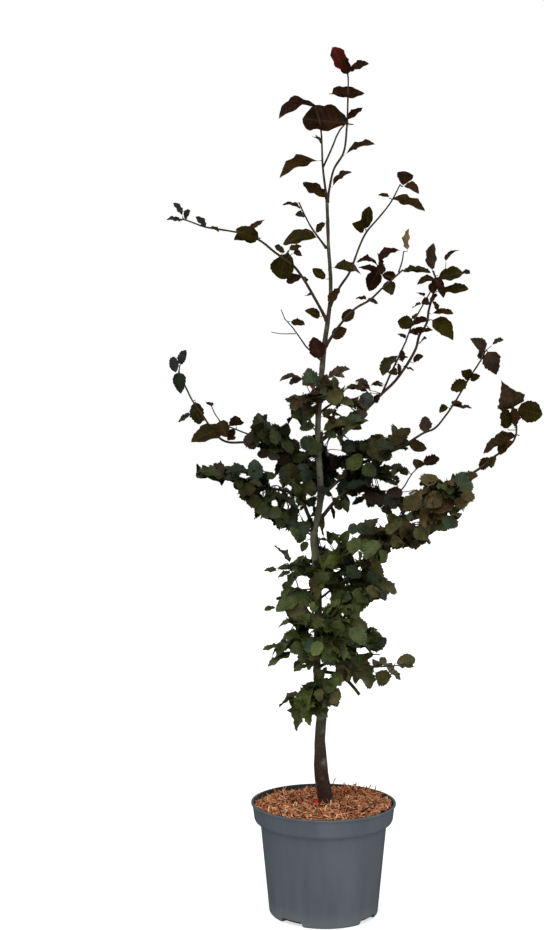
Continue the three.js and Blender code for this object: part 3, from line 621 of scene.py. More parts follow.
def set_back(right, height, back):
    """The place of a point drawn on the upright sheet, once moved along its sight line to its depth."""
    share = (back - EYE[1]) / -EYE[1]
    return np.array([EYE[0] + (right - EYE[0]) * share, back, EYE[2] + (height - EYE[2]) * share])


def ruled(column, row):
    """A column and row of the sheet's ruling, as right and height on it."""
    return (column - RULED_FOOT[0]) * RULING, (RULED_FOOT[1] - row) * RULING


def on_sheet(points):
    """Where points are seen on the upright sheet through the stem: right and height of each."""
    share = -EYE[1] / (points[:, 1] - EYE[1])
    return EYE[[0, 2]] + (points[:, [0, 2]] - EYE[[0, 2]]) * share[:, None]


def unit(vector):
    """A vector's direction, as a vector 1 long."""
    return vector / np.linalg.norm(vector)


def scatter(amount):
    """A random vector of about that length."""
    return np.array([chance.gauss(0, amount) for _ in range(3)])


def dealt(shares):
    """One of a table's keys, drawn by the weights in it."""
    return chance.choices(list(shares), weights=shares.values())[0]


def between(a, b, low, high, t):
    """The mix of two points at t, where a is at low and b is at high."""
    return a + (b - a) * (t - low) / (high - low)


def smooth_route(points, step):
    """Points about a step apart on a centripetal Catmull-Rom line through the given ones."""
    ends = [2 * points[0] - points[1], *points, 2 * points[-1] - points[-2]]
    line = []
    for p, q, r, s in zip(ends, ends[1:], ends[2:], ends[3:]):
        k = np.cumsum([0, *(np.linalg.norm(b - a) ** 0.5 for a, b in ((p, q), (q, r), (r, s)))])
        count = max(2, round(np.linalg.norm(r - q) / step))
        for t in np.linspace(k[1], k[2], count, endpoint=False):
            middle = between(q, r, k[1], k[2], t)
            early = between(between(p, q, k[0], k[1], t), middle, k[0], k[2], t)
            late = between(middle, between(r, s, k[2], k[3], t), k[1], k[3], t)
            line.append(between(early, late, k[1], k[2], t))
    return np.array([*line, points[-1]])


def paces(line):
    """How far along a line each of its points lies."""
    return np.concatenate([[0], np.cumsum(np.linalg.norm(np.diff(line, axis=0), axis=1))])


def at_paces(line, stops):
    """The points that lie so far along a line."""
    along = paces(line)
    return np.array([np.interp(stops, along, axis) for axis in line.T]).T


def add_object(name, data):
    """A new object, linked to the scene."""
    made = bpy.data.objects.new(name, data)
    bpy.context.scene.collection.objects.link(made)
    return made


def finish_piece(name, mesh, materials, replaced=()):
    """Puts a mesh made in millimetres into the scene, on the one body, in place of its CAD nodes."""
    mesh.transform(Matrix.Scale(METRES, 4))
    for material in materials:
        mesh.materials.append(material)
    piece = add_object(name, mesh)
    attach(piece, "root")
    if replaced:
        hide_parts(*replaced)


def mesh_from(name, bm):
    """The mesh of a finished bmesh."""
    mesh = bpy.data.meshes.new(name)
    bm.to_mesh(mesh)
    bm.free()
    return mesh


def crisp(mesh):
    """Shades a mesh smooth, apart from its hard edges."""
    mesh.shade_smooth()
    mesh.set_sharp_from_angle(angle=HARD_EDGE)
    return mesh


def mesh_of(name, bm):
    """The mesh of a finished bmesh, facing outwards, and smooth apart from its hard edges."""
    bmesh.ops.recalc_face_normals(bm, faces=bm.faces)
    return crisp(mesh_from(name, bm))


def pattern_of(bm):
    """The points and faces of a finished bmesh, which joined_mesh repeats."""
    bm.verts.index_update()
    points = np.array([vert.co for vert in bm.verts])
    faces = [[vert.index for vert in face.verts] for face in bm.faces]
    bm.free()
    return points, faces


def joined_mesh(name, places, faces, kinds, flat=None):
    """One mesh of many small things with the same faces. places is (things, points, 3), kinds gives each
    thing's material, and flat is each point's place on the thing's own UV map."""
    places = np.asarray(places)
    count, size = places.shape[:2]
    every = [[corner + thing * size for corner in face] for thing in range(count) for face in faces]
    mesh = bpy.data.meshes.new(name)
    mesh.from_pydata(places.reshape(-1, 3), [], every)
    mesh.polygons.foreach_set("material_index", np.repeat(np.array(kinds, dtype=np.int32), len(faces)))
    if flat is not None:
        corners = np.array([corner for face in faces for corner in face])
        layer = mesh.uv_layers.new(name="UVMap")
        layer.data.foreach_set("uv", np.tile(flat[corners], (count, 1)).ravel())
    mesh.shade_smooth()
    return mesh


# ---- Materials ------------------------------------------------------------------------------


def finish_material(tree, colour, roughness, shine, height, strength, proud):
    """The shader of a material and its output. proud is how high its relief stands, in millimetres."""
    bump = node(tree, "Bump", {"Height": height, "Strength": strength, "Distance": proud * METRES})
    shader = node(tree, "BsdfPrincipled", {
        "Base Color": colour, "Roughness": roughness, "Specular IOR Level": shine, "Normal": bump})
    node(tree, "OutputMaterial", {"Surface": shader})


def pot_plastic():
    """Injection-moulded polypropylene, satin slate grey: faint upright flow streaks, dusty at the foot."""
    made, tree = new_material("pot_polypropylene")
    place = node(tree, "TexCoord").outputs["Object"]
    upright = node(tree, "Mapping", {"Vector": place, "Scale": (1, 1, 0.12)})
    mottle = node(tree, "TexNoise", {"Vector": upright, "Scale": per_mm(38), "Detail": 3, "Roughness": 0.55})
    grain = node(tree, "TexNoise", {"Vector": place, "Scale": per_mm(1.6), "Detail": 2})
    tint = node(tree, "ValToRGB", {"Fac": mottle})
    set_ramp(tint, (0.3, linear("#444c51")), (0.7, linear("#50565b")))
    height = node(tree, "SeparateXYZ", {"Vector": place}).outputs["Z"]
    low = node(tree, "MapRange", {
        "Value": height, "From Min": 0, "From Max": 0.03, "To Min": 0.35, "To Max": 0})
    dusty = node(tree, "Mix", {"Factor": low, 6: tint, 7: linear("#6b6f70")}, data_type="RGBA")
    satin = node(tree, "MapRange", {"Value": mottle, "To Min": 0.38, "To Max": 0.52})
    finish_material(tree, dusty, satin, 0.4, grain, 0.12, 0.4)
    return made


def bark(name, tones, patch_mm, patch_tone, shine):
    """Smooth young beech bark: its tone changes up the stem, with grey patches and fine breathing pores."""
    made, tree = new_material(name)
    place = node(tree, "TexCoord").outputs["Object"]
    height = node(tree, "SeparateXYZ", {"Vector": place}).outputs["Z"]
    top = max(level for level, _ in tones)
    share = node(tree, "MapRange", {"Value": height, "From Min": 0, "From Max": top * METRES})
    tone = node(tree, "ValToRGB", {"Fac": share})
    set_ramp(tone, *((level / top, linear(colour)) for level, colour in tones))
    patches = node(tree, "TexNoise", {
        "Vector": place, "Scale": per_mm(patch_mm), "Detail": 5, "Roughness": 0.65})
    cover = node(tree, "MapRange", {
        "Value": patches, "From Min": 0.5, "From Max": 0.68, "To Min": 0, "To Max": 0.45})
    grey = node(tree, "Mix", {"Factor": cover, 6: tone, 7: linear(patch_tone)}, data_type="RGBA")
    flatten = node(tree, "Mapping", {"Vector": place, "Scale": (1, 1, 2.6)})
    pores = node(tree, "TexVoronoi", {"Vector": flatten, "Scale": per_mm(5)})
    dots = node(tree, "MapRange", {
        "Value": pores, "From Min": 0.1, "From Max": 0.2, "To Min": 1, "To Max": 0})
    speckled = node(tree, "Mix", {"Factor": dots, 6: grey, 7: linear("#6f6652")}, data_type="RGBA")
    wrinkles = node(tree, "TexNoise", {"Vector": flatten, "Scale": per_mm(3.5), "Detail": 5})
    relief = node(tree, "Math", {0: wrinkles, 1: dots}, operation="ADD")
    finish_material(tree, speckled, 0.62, shine, relief, 0.55, 0.6)
    return made


def leaf_skin(name, colour, depth, shine):
    """A beech leaf: its tint blotched darker and lighter over the blade, paler along the midrib, and a thin
    waxy skin that glints, drawn up into ribs by its side veins."""
    made, tree = new_material(name)
    split = node(tree, "SeparateXYZ", {"Vector": node(tree, "UVMap", uv_map="UVMap")})
    offset = node(tree, "Math", {0: split, 1: 0.5}, operation="SUBTRACT")
    aside = node(tree, "Math", {0: offset}, operation="ABSOLUTE")
    slant = node(tree, "Math", {0: aside, 1: -VEIN_SLANT, 2: split.outputs["Y"]}, operation="MULTIPLY_ADD")
    turns = node(tree, "Math", {0: slant, 1: 2 * math.pi * VEIN_PAIRS}, operation="MULTIPLY")
    ribs = node(tree, "Math", {0: turns}, operation="SINE")
    place = node(tree, "TexCoord").outputs["Object"]
    blotches = node(tree, "TexNoise", {"Vector": place, "Scale": per_mm(16), "Detail": 4, "Roughness": 0.65})
    veined = node(tree, "Math", {0: ribs, 1: 0.05, 2: blotches}, operation="MULTIPLY_ADD")
    tone = node(tree, "ValToRGB", {"Fac": veined})
    # depth below 1 darkens the whole tint as painted shade.
    set_ramp(tone, *((position, [part * share * depth for part in linear(colour)[:3]] + [1])
                     for position, share in ((0.3, 0.55), (0.72, 1.5))))
    midrib = node(tree, "MapRange", {
        "Value": aside, "From Min": 0.01, "From Max": 0.04, "To Min": 0.07, "To Max": 0})
    blade = node(tree, "Mix", {"Factor": midrib, 6: tone, 7: linear("#6a6a48")}, data_type="RGBA")
    skin = node(tree, "TexNoise", {"Vector": place, "Scale": per_mm(7), "Detail": 3})
    relief = node(tree, "Math", {0: ribs, 1: 0.4, 2: skin}, operation="MULTIPLY_ADD")
    finish_material(tree, blade, 0.45, shine, relief, 0.5, 1.2)
    return made


def plain(name, colour, roughness, grain_mm, depth_mm):
    """A rough natural stuff in one tone, with its own grain: shredded bark, compost or bud scales."""
    made, tree = new_material(name)
    place = node(tree, "TexCoord").outputs["Object"]
    grain = node(tree, "TexNoise", {"Vector": place, "Scale": per_mm(grain_mm), "Detail": 4})
    finish_material(tree, linear(colour), roughness, 0.2, grain, 0.6, depth_mm)
    return made


def leaf_skins():
    """Every leaf tint three ways: as it is, dimmed as painted shade in the dark masses, and darker and
    duller in the open light, as painted shade.
    """
    skins = {}
    for name, (shaded, darker_for_light) in LEAF_TINTS.items():
        skins[name] = leaf_skin("leaf_" + name, shaded, 1, LEAF_SHINE)
        skins[name + "_dim"] = leaf_skin(f"leaf_{name}_dim", shaded, PAINTED_SHADE_SHARE, PAINTED_SHADE_SHINE)
        skins[name + "_deep"] = leaf_skin(f"leaf_{name}_deep", darker_for_light, 1, PAINTED_DARK_SHINE)
    return skins


STEM_BARK = bark("beech_bark", STEM_TONES, 22, "#77776a", 0.28)
TWIG_BARK = bark("beech_twig_bark", TWIG_TONES, 12, "#524836", 0.1)
LEAF_SKINS = leaf_skins()

# ---- Stem and limbs -------------------------------------------------------------------------


def stem_at(height):
    """The middle of the stem at a height."""
    return np.array([*(np.interp(height, STEM_LINE[:, 2], STEM_LINE[:, axis]) for axis in (0, 1)), height])


def stem_radius(height):
    """The radius of the stem at a height."""
    return np.interp(height, *np.array(TRUNK)[:, [0, 3]].T)


def limb_line(route):
    """The line of a limb or side shoot, from its route as drawn on the upright sheet."""
    return smooth_route([set_back(*point) for point in route], LIMB_STEP)


def limb_radii(line, thick, thin):
    """Radii along a limb: an even taper, with a collar where it leaves its parent."""
    along = paces(line)
    taper = thick + (thin - thick) * along / along[-1]
    return taper * (1 + COLLAR_SWELL * np.exp(-along / COLLAR_REACH))


def first_ring(bm, sides, radius, place=Matrix()):
    """Closes the first end of a limb with a face, and gives the edges round it."""
    ring = bmesh.ops.create_circle(bm, segments=sides, radius=radius, matrix=place)
    edges = list({edge for vert in ring["verts"] for edge in vert.link_edges})
    bmesh.ops.contextual_create(bm, geom=edges)
    return edges


def next_ring(bm, edges):
    """Extrudes a ring of edges: the new ring's corners and edges."""
    made = bmesh.ops.extrude_edge_only(bm, edges=edges)["geom"]
    verts = [part for part in made if isinstance(part, bmesh.types.BMVert)]
    return verts, [part for part in made if isinstance(part, bmesh.types.BMEdge) and part.is_boundary]


def grow(bm, line, radii, sides):
    """A limb: a ring extruded along its line, turned and narrowed with it, and closed at both ends."""
    line = [Vector(point) for point in line]
    ahead = [(b - a).normalized() for a, b in zip([line[0], *line], [*line[1:], line[-1]])][1:]
    ahead = [(line[1] - line[0]).normalized(), *ahead]
    upright = Vector((0, 0, 1)).rotation_difference(ahead[0]).to_matrix().to_4x4()
    edges = first_ring(bm, sides, radii[0], Matrix.Translation(line[0]) @ upright)
    for i in range(len(line) - 1):
        verts, edges = next_ring(bm, edges)
        turn = ahead[i].rotation_difference(ahead[i + 1]).to_matrix().to_4x4()
        narrow = Matrix.Scale(radii[i + 1] / radii[i], 4)
        move = Matrix.Translation(line[i + 1]) @ turn @ narrow @ Matrix.Translation(-line[i])
        bmesh.ops.transform(bm, verts=verts, matrix=move)
    bmesh.ops.contextual_create(bm, geom=edges)


def rough_bark(bm, share):
    """Raises and sinks the bark along its normals: slow swellings and short wrinkles round the limb."""
    bm.normal_update()
    for vert in bm.verts:
        x, y, z = vert.co
        swell = noise.noise(vert.co / SWELLING)
        wrinkle = noise.noise(Vector((x / WRINKLE_WIDTH, y / WRINKLE_WIDTH, z / WRINKLE_HEIGHT)))
        vert.co += vert.normal * share * (0.55 * swell + 0.22 * wrinkle)


def knots(bm):
    """Pushes the stem out where a leaf or a twig once stood, with a dimple in the middle."""
    for height, facing, width, proud in KNOTS:
        right, back = stem_at(height)[:2]
        out = Vector((math.cos(math.radians(facing)), math.sin(math.radians(facing)), 0))
        middle = Vector((right, back, height)) + out * stem_radius(height)
        for vert in bm.verts:
            if abs(vert.co.z - height) < 2 * width:
                near = (vert.co - middle).length / width
                vert.co += out * proud * (math.exp(-4 * near * near) - 0.35 * math.exp(-30 * near * near))


STEM_LINE = smooth_route([np.array([right, back, height], dtype=float) for height, right, back, _ in TRUNK],
                         TRUNK_STEP)


def make_trunk():
    """The stem, with its knots and its uneven bark."""
    bm = bmesh.new()
    grow(bm, STEM_LINE, stem_radius(STEM_LINE[:, 2]), TRUNK_SIDES)
    knots(bm)
    rough_bark(bm, STEM_ROUGHNESS)
    finish_piece("stem", mesh_of("stem", bm), [STEM_BARK], ["trunk"])


def make_limbs():
    """The main boughs, each a piece of its own. Gives every limb's and side shoot's line."""
    lines = {"trunk": STEM_LINE}
    for name, ((thick, thin), route, boughs) in LIMBS.items():
        lines[name] = limb_line(route)
        bm = bmesh.new()
        grow(bm, lines[name], limb_radii(lines[name], thick, thin), LIMB_SIDES)
        rough_bark(bm, LIMB_ROUGHNESS)
        replaced = ["bough_" + bough for bough in boughs]
        finish_piece("limb_" + name, mesh_of(name, bm), [TWIG_BARK], replaced)
    for name, ((thick, thin), route) in SIDE_SHOOTS.items():
        lines[name] = limb_line(route)
        twigs.append((lines[name], thick, thin))
    for route, radius in PRUNED:
        twigs.append((np.array([set_back(*point) for point in route]), radius, radius * 0.9))
    return lines


# ---- Twigs and buds -------------------------------------------------------------------------

twigs = []  # (line, radius at the foot, radius at the tip)
buds = []  # (foot, direction, length)


def twig_places(line, thick, thin):
    """The rings of one thin twig along its line, as an array of points."""
    middles = at_paces(line, np.linspace(0, paces(line)[-1], TWIG_RINGS))
    ahead = np.gradient(middles, axis=0)
    ahead /= np.linalg.norm(ahead, axis=1)[:, None]
    aside = np.cross(ahead, unit(np.cross(ahead[0], [0.31, 0.94, 0.12])))
    aside /= np.linalg.norm(aside, axis=1)[:, None]
    over = np.cross(ahead, aside)
    turn = 2 * np.pi * np.arange(TWIG_SIDES) / TWIG_SIDES
    radii = np.linspace(thick, thin, TWIG_RINGS)[:, None, None]
    rings = middles[:, None] + radii * (
        np.cos(turn)[:, None] * aside[:, None] + np.sin(turn)[:, None] * over[:, None])
    return rings.reshape(-1, 3)


def twig_faces():
    """The faces of a closed twig: a ring of points extruded once for each further ring."""
    bm = bmesh.new()
    edges = first_ring(bm, TWIG_SIDES, 1)
    for _ in range(1, TWIG_RINGS):
        verts, edges = next_ring(bm, edges)
        bmesh.ops.translate(bm, verts=verts, vec=(0, 0, 1))
    bmesh.ops.contextual_create(bm, geom=edges)
    bmesh.ops.recalc_face_normals(bm, faces=bm.faces)
    points, faces = pattern_of(bm)
    sides = np.floor(np.arctan2(points[:, 1], points[:, 0]) / (2 * np.pi / TWIG_SIDES)) % TWIG_SIDES
    number = (np.round(points[:, 2]) * TWIG_SIDES + sides).astype(int)
    return [[int(number[corner]) for corner in face] for face in faces]


def make_twigs():
    """All thin wood in one piece: the side shoots, the leafy shoots, the stubs and the leaf stalks."""
    places = [twig_places(*twig) for twig in twigs]
    mesh = joined_mesh("twigs", places, twig_faces(), [0] * len(places))
    finish_piece("twigs", mesh, [TWIG_BARK])


def make_buds():
    """Winter buds in the leaf axils: slim pointed spindles of brown scales."""
    bm = bmesh.new()
    bmesh.ops.create_uvsphere(bm, u_segments=6, v_segments=5, radius=1)
    pattern, faces = pattern_of(bm)
    share = (pattern[:, 2] + 1) / 2
    places = []
    for foot, ahead, length in buds:
        ahead = unit(ahead)
        aside = unit(np.cross(ahead, [0.2, 0.3, 0.93]))
        over = np.cross(ahead, aside)
        girth = BUD_GIRTH * length * (1 - 0.45 * share)
        places.append(foot + np.outer(share * length, ahead) + np.outer(pattern[:, 0] * girth, aside)
                      + np.outer(pattern[:, 1] * girth, over))
    mesh = joined_mesh("buds", places, faces, [0] * len(places))
    finish_piece("buds", mesh, [plain("beech_bud_scales", "#5a3c22", 0.5, 3, 0.3)])


# ---- Leaves ---------------------------------------------------------------------------------

Leaf = namedtuple("Leaf", "foot tip face width teeth tint arch fold wave phase twist taper bow")


def leaf_pattern(teeth):
    """A flat leaf, 1 long and 1 to each side, from a grid: its points across, along and up on the ribs, and
    its faces. Its rows follow the side veins, and every other row ends in a tooth of its own size."""
    bm = bmesh.new()
    bmesh.ops.create_grid(bm, x_segments=LEAF_COLUMNS, y_segments=LEAF_ROWS, size=1)
    for vert in bm.verts:
        across = vert.co.x
        row = round((vert.co.y + 1) / 2 * LEAF_ROWS)
        blade = (row - 1) / (LEAF_ROWS - 1)
        if row <= 1:
            vert.co = Vector((across * STALK_HALF_WIDTH, row * STALK_SHARE, 0))
            continue
        half = 2.42 * blade ** 0.54 * (1 - blade) ** 0.86
        out = 1 if row % 2 == 0 else -0.6
        own = 0.6 + 0.5 * math.sin(2.1 * row + across)
        tooth = teeth * out * own * (abs(across) == 1) * (row < LEAF_ROWS)
        lead = (0.1 + 0.3 * max(tooth, 0)) * abs(across) * math.sin(math.pi * blade)
        rib = (1 if row % 2 == 0 else -1) * abs(across) * (1 - blade)
        along = STALK_SHARE + (1 - STALK_SHARE) * blade + lead * 0.8
        vert.co = Vector((across * half * (1 + tooth), along, rib))
    bmesh.ops.remove_doubles(bm, verts=bm.verts, dist=1e-5)
    return pattern_of(bm)


LEAF_POINTS, LEAF_FACES = leaf_pattern(0)
TEETH = leaf_pattern(1)[0] - LEAF_POINTS
# The share of each point in the middle of each face.
LEAF_MIDDLES = np.array([
    [(index in face) / len(face) for index in range(len(LEAF_POINTS))] for face in LEAF_FACES])


def leaf_places(leaf):
    """The points of one leaf in place: folded along its midrib, arched, rippled at the margin and twisted."""
    across, along, rib = (LEAF_POINTS + leaf.teeth * TEETH).T
    reach = leaf.tip - leaf.foot
    length = np.linalg.norm(reach)
    ahead = reach / length
    aside = unit(np.cross(ahead, leaf.face))
    over = np.cross(aside, ahead)
    half = leaf.width / 2
    bulge = length * 4 * along * (1 - along)
    ripple = leaf.wave * half * across ** 2 * np.sin(2 * np.pi * WAVES * along + leaf.phase * np.sign(across))
    x = across * half * math.cos(leaf.fold) * (1 + leaf.taper * (0.9 - 2 * along)) + leaf.bow * bulge
    z = np.abs(across) * half * math.sin(leaf.fold) + ripple + rib * RIB_HEIGHT + leaf.arch * bulge
    turn = leaf.twist * (along - 0.5)
    x, z = x * np.cos(turn) - z * np.sin(turn), x * np.sin(turn) + z * np.cos(turn)
    return leaf.foot + np.outer(along * length, ahead) + np.outer(x, aside) + np.outer(z, over)


def leaf_spots(leaf):
    """The points of one leaf in place, and the middles of its faces."""
    places = leaf_places(leaf)
    return np.concatenate([places, LEAF_MIDDLES @ places])


def teeth_at(height):
    """How deeply a leaf's margin is cut at a height: coarse teeth low in the crown, waves higher up."""
    return max(0.02, np.interp(height, TEETH_LEVELS, TEETH_DEPTHS) * chance.uniform(0.4, 1.4))


def open_leaf(line, right, height, reach, rise, width, tint, arch=None, taper=None, forward=0):
    """A leaf from how it is seen: turned and tipped in depth so that it looks as wide and as long."""
    seen = on_sheet(line)
    near = line[np.argmin(np.hypot(seen[:, 0] - right, seen[:, 1] - height))]
    back = near[1] + chance.uniform(-3, 3) - forward
    if abs(right + reach / 2 - stem_at(height)[0]) < stem_radius(height) + 0.5 * max(width, abs(reach)):
        back = min(back, -stem_radius(height) - chance.uniform(5, 12))
    shown = math.hypot(reach, rise)
    length = max(shown * 1.06, width * 1.5, SHORTEST_LEAF)
    depth = math.sqrt(length ** 2 - shown ** 2) * chance.choice((-1, 1))
    back = max(back, NEAREST + 6)
    depth = depth if NEAREST < back + depth < FURTHEST else -depth
    foot = set_back(right, height, back)
    tip = set_back(right + reach, height + rise, foot[1] + depth)
    ahead = unit(tip - foot)
    to_eye = unit(EYE - foot)
    facing = unit(to_eye - ahead * np.dot(to_eye, ahead))
    edge = np.cross(ahead, facing)
    edge = edge if edge[2] > 0 else -edge
    broad = max(width, LEAF_BREADTH * length)
    roll = math.acos(min(1, width / broad))
    face = math.cos(roll) * facing + math.sin(roll) * edge
    if np.linalg.norm(foot - near) > STALKLESS:
        twigs.append((np.array([near, (near + foot) / 2 + scatter(0.8), foot]), *STALK_RADII))
    arch = chance.uniform(0.02, 0.07) if arch is None else arch
    taper = chance.uniform(-0.25, 0.35) if taper is None else taper
    return Leaf(
        foot, tip, face, broad * 1.04, teeth_at(height) * OPEN_TEETH, tint, arch,
        fold=chance.uniform(0.1, 0.4), wave=chance.uniform(0.06, 0.2), phase=chance.uniform(0, 6),
        twist=chance.gauss(0, 0.3), taper=taper, bow=chance.gauss(0, 0.04))


# ---- The outline that the frame's masses give ------------------------------------------------


def mass_points(name):
    """The corners of a mass of the frame, in millimetres."""
    return np.array([vert.co for vert in frame["nodes"][name].data.vertices]) / METRES


def mass_middle(name):
    """The middle of a mass's box, and half its size."""
    corners = mass_points(name)
    low, high = corners.min(axis=0), corners.max(axis=0)
    return (low + high) / 2, (high - low) / 2


def outline_sides(name):
    """The sides of a mass's outline on the upright sheet: a point on each, and its outward direction."""
    seen = np.unique(on_sheet(mass_points(name)).round(2), axis=0)
    hull = seen[geometry.convex_hull_2d(seen.tolist())]
    sides = np.roll(hull, -1, axis=0) - hull
    outwards = np.stack([sides[:, 1], -sides[:, 0]], axis=1) / np.linalg.norm(sides, axis=1)[:, None]
    if np.dot(outwards[0], hull.mean(axis=0) - hull[0]) > 0:
        outwards = -outwards
    return hull, outwards


ALL_MASSES = [name for name in FINISH_OF_MASS if name.endswith(("_mass", "_leaves", "_leaf", "_tip"))]
OUTLINES = {name: outline_sides(name) for name in ALL_MASSES}
MIDDLES = {name: mass_middle(name)[0] for name in ALL_MASSES}
GAPS = np.array([(*ruled(column, row), across * RULING, up * RULING) for column, row, across, up in SKY_GAPS])


def within(seen, masses, margin):
    """Which points on the sheet lie in the outline of one of the masses, or within a margin round it."""
    inside = np.zeros(len(seen), dtype=bool)
    for hull, outwards in (OUTLINES[name] for name in masses):
        inside |= ((seen[:, None] - hull[None]) * outwards[None]).sum(axis=2).max(axis=1) < margin
    return inside


def in_sky(seen):
    """Which points on the sheet lie in a gap through which the sky shows."""
    return ((((seen[:, None] - GAPS[None, :, :2]) / GAPS[None, :, 2:]) ** 2).sum(axis=2) < 1).any(axis=1)


def is_clear(leaf):
    """True where a leaf stays in the crown's outline, leaves the sky gaps open and hides no bare stem."""
    places = leaf_spots(leaf)
    if places[:, 1].min() < NEAREST or places[:, 1].max() > FURTHEST:
        return False
    seen = on_sheet(places)
    if not within(seen, ALL_MASSES, OUTLINE_MARGIN).all() or in_sky(seen).any():
        return False
    x, z = seen[places[:, 1] < BEFORE_STEM].T
    beside = np.abs(x - stem_at(z)[0]) < stem_radius(z) + STEM_CLEARANCE
    return not any((beside & (z > low) & (z < high)).any() for low, high in STEM_SHOWS)


def nearest_mass(leaf):
    """The mass whose middle is nearest to a leaf's."""
    return min(MIDDLES, key=lambda name: np.linalg.norm(MIDDLES[name] - (leaf.foot + leaf.tip) / 2))


# ---- Foliage by rule ------------------------------------------------------------------------


def surface_points(name, count):
    """Seeded points all over a mass's surface, and its area."""
    mesh = frame["nodes"][name].data
    mesh.calc_loop_triangles()
    corners = mass_points(name)[np.array([triangle.vertices for triangle in mesh.loop_triangles])]
    areas = np.linalg.norm(np.cross(corners[:, 1] - corners[:, 0], corners[:, 2] - corners[:, 0]), axis=1) / 2
    found = []
    for index in chance.choices(range(len(areas)), weights=areas, k=count):
        a, b = sorted((chance.random(), chance.random()))
        found.append(a * corners[index][0] + (b - a) * corners[index][1] + (1 - b) * corners[index][2])
    return found, areas.sum()


def leafy_shoot(foot, end, tint, shares, leaves):
    """One shoot with alternate leaves and a leaf at its tip. Each leaf is tried a few ways until it is clear,
    and a shoot that can bear none isn't grown."""
    bend = (foot + end) / 2 + np.array([0, 0, 0.12 * np.linalg.norm(end - foot)]) + scatter(4)
    line = smooth_route([foot, bend, end], SHOOT_STEP)
    along = paces(line)
    ahead = unit(end - foot)
    back = 0.0
    hand = chance.choice((-1, 1))
    longest = None
    while back < min(LEAFY_REACH, along[-1] * 0.9):
        place = at_paces(line, along[-1] - back)
        own = tint if chance.random() < SAME_TINT else dealt(shares)
        for attempt in range(TRIES):
            face = unit(0.3 * np.array([ahead[0], ahead[1], 0]) + np.array([0, -0.2, 0.75]) + scatter(0.36))
            aside = unit(np.cross(ahead, face)) * hand
            way = ahead if back == 0 else 0.7 * ahead + 0.8 * aside
            way = unit(way + np.array([0, 0, -0.3]) + scatter(0.3))
            length = min(max(chance.gauss(*LEAF_LENGTH), LEAF_LIMITS[0]), LEAF_LIMITS[1])
            length *= 1 - 0.45 * attempt / TRIES
            made = Leaf(
                place, place + way * length, face, length * chance.uniform(0.52, 0.66), teeth_at(place[2]),
                own, arch=chance.uniform(-0.02, 0.14), fold=chance.uniform(0.15, 0.7),
                wave=chance.uniform(0.1, 0.34), phase=chance.uniform(0, 6), twist=chance.gauss(0, 0.4),
                taper=chance.uniform(-0.25, 0.35), bow=chance.gauss(0, 0.04))
            if is_clear(made):
                leaves.append(made)
                longest = back if longest is None else longest
                break
        if chance.random() < BUD_SHARE and longest is not None:
            buds.append((place, ahead + scatter(0.4), chance.uniform(4, 8)))
        back += LEAF_SPACING * chance.uniform(0.75, 1.3)
        hand = -hand
    if longest is not None:
        keep = max(3, int(np.searchsorted(along, along[-1] - longest)) + 1)
        twigs.append((line[:keep], *SHOOT_RADII))


def feeding_bough(middle):
    """A bough from the stem up into a mass that no limb reaches."""
    aside = np.hypot(middle[0], middle[1])
    root = stem_at(max(middle[2] - 0.7 * aside, LOWEST_ROOT))
    line = smooth_route([root, (root + middle) / 2 + np.array([0, 0, 0.08 * aside]), middle], LIMB_STEP)
    twigs.append((line, *FEEDER_RADII))
    return line


def fill_mass(name, crowding, shares, lines):
    """Grows shoots from the limb that is nearest out to a mass's surface, and gives their leaves."""
    middle, half = mass_middle(name)
    bearers = np.concatenate(list(lines.values()))
    if np.linalg.norm(bearers - middle, axis=1).min() > 0.5 * half.min():
        bearers = np.concatenate([bearers, feeding_bough(middle)])
    _, area = surface_points(name, 1)
    leaves = []
    for target in surface_points(name, round(crowding * area / SHOOT_ROOM))[0]:
        inwards = middle - target
        depth = np.linalg.norm(inwards)
        end = target + inwards / depth * min(chance.uniform(14, 44), 0.6 * depth)
        hub = middle + (end - middle) * 0.5 + scatter(9)
        foot = bearers[np.argmin(np.linalg.norm(bearers - hub, axis=1))]
        if np.linalg.norm(end - foot) > SHORTEST_SHOOT:
            leafy_shoot(foot, end, dealt(shares), shares, leaves)
    return leaves


def crown_leaf(bearers, others, column, row, tip_column, tip_row, width, tint):
    """A leaf on the face of the dense crown, from its place on the ruling: it hangs before the others."""
    right, height = ruled(column, row)
    reach, rise = (tip_column - column) * RULING, (row - tip_row) * RULING
    away = np.hypot(*(on_sheet(bearers) - (right, height)).T) + FRONT_CHOICE * bearers[:, 1]
    bearer = bearers[[np.argmin(away)]]
    off = np.hypot(*(on_sheet(others) - (right + reach / 2, height + rise / 2)).T)
    behind = off < 0.45 * width * RULING
    forward = max(0, bearer[0][1] - others[behind, 1].min() + 3) if behind.any() else 0
    return open_leaf(bearer, right, height, reach, rise, width * RULING, tint, chance.uniform(0.02, 0.12),
                     forward=min(forward, LONGEST_HANG))


def squares_before(places):
    """The squares of the upright sheet in which points are seen."""
    return {tuple(square) for square in np.floor(on_sheet(places) / SQUARE).astype(int)}


def squares_to_cover():
    """The squares inside the outline of the dense masses, apart from those in which the sky shows."""
    across, up = np.meshgrid(np.arange(*SQUARES_ACROSS), np.arange(*SQUARES_UP))
    squares = np.stack([across.ravel(), up.ravel()], axis=1)
    spots = (squares + 0.5) * SQUARE
    return [tuple(square) for square in squares[within(spots, FOLIAGE, -INSET) & ~in_sky(spots)]]


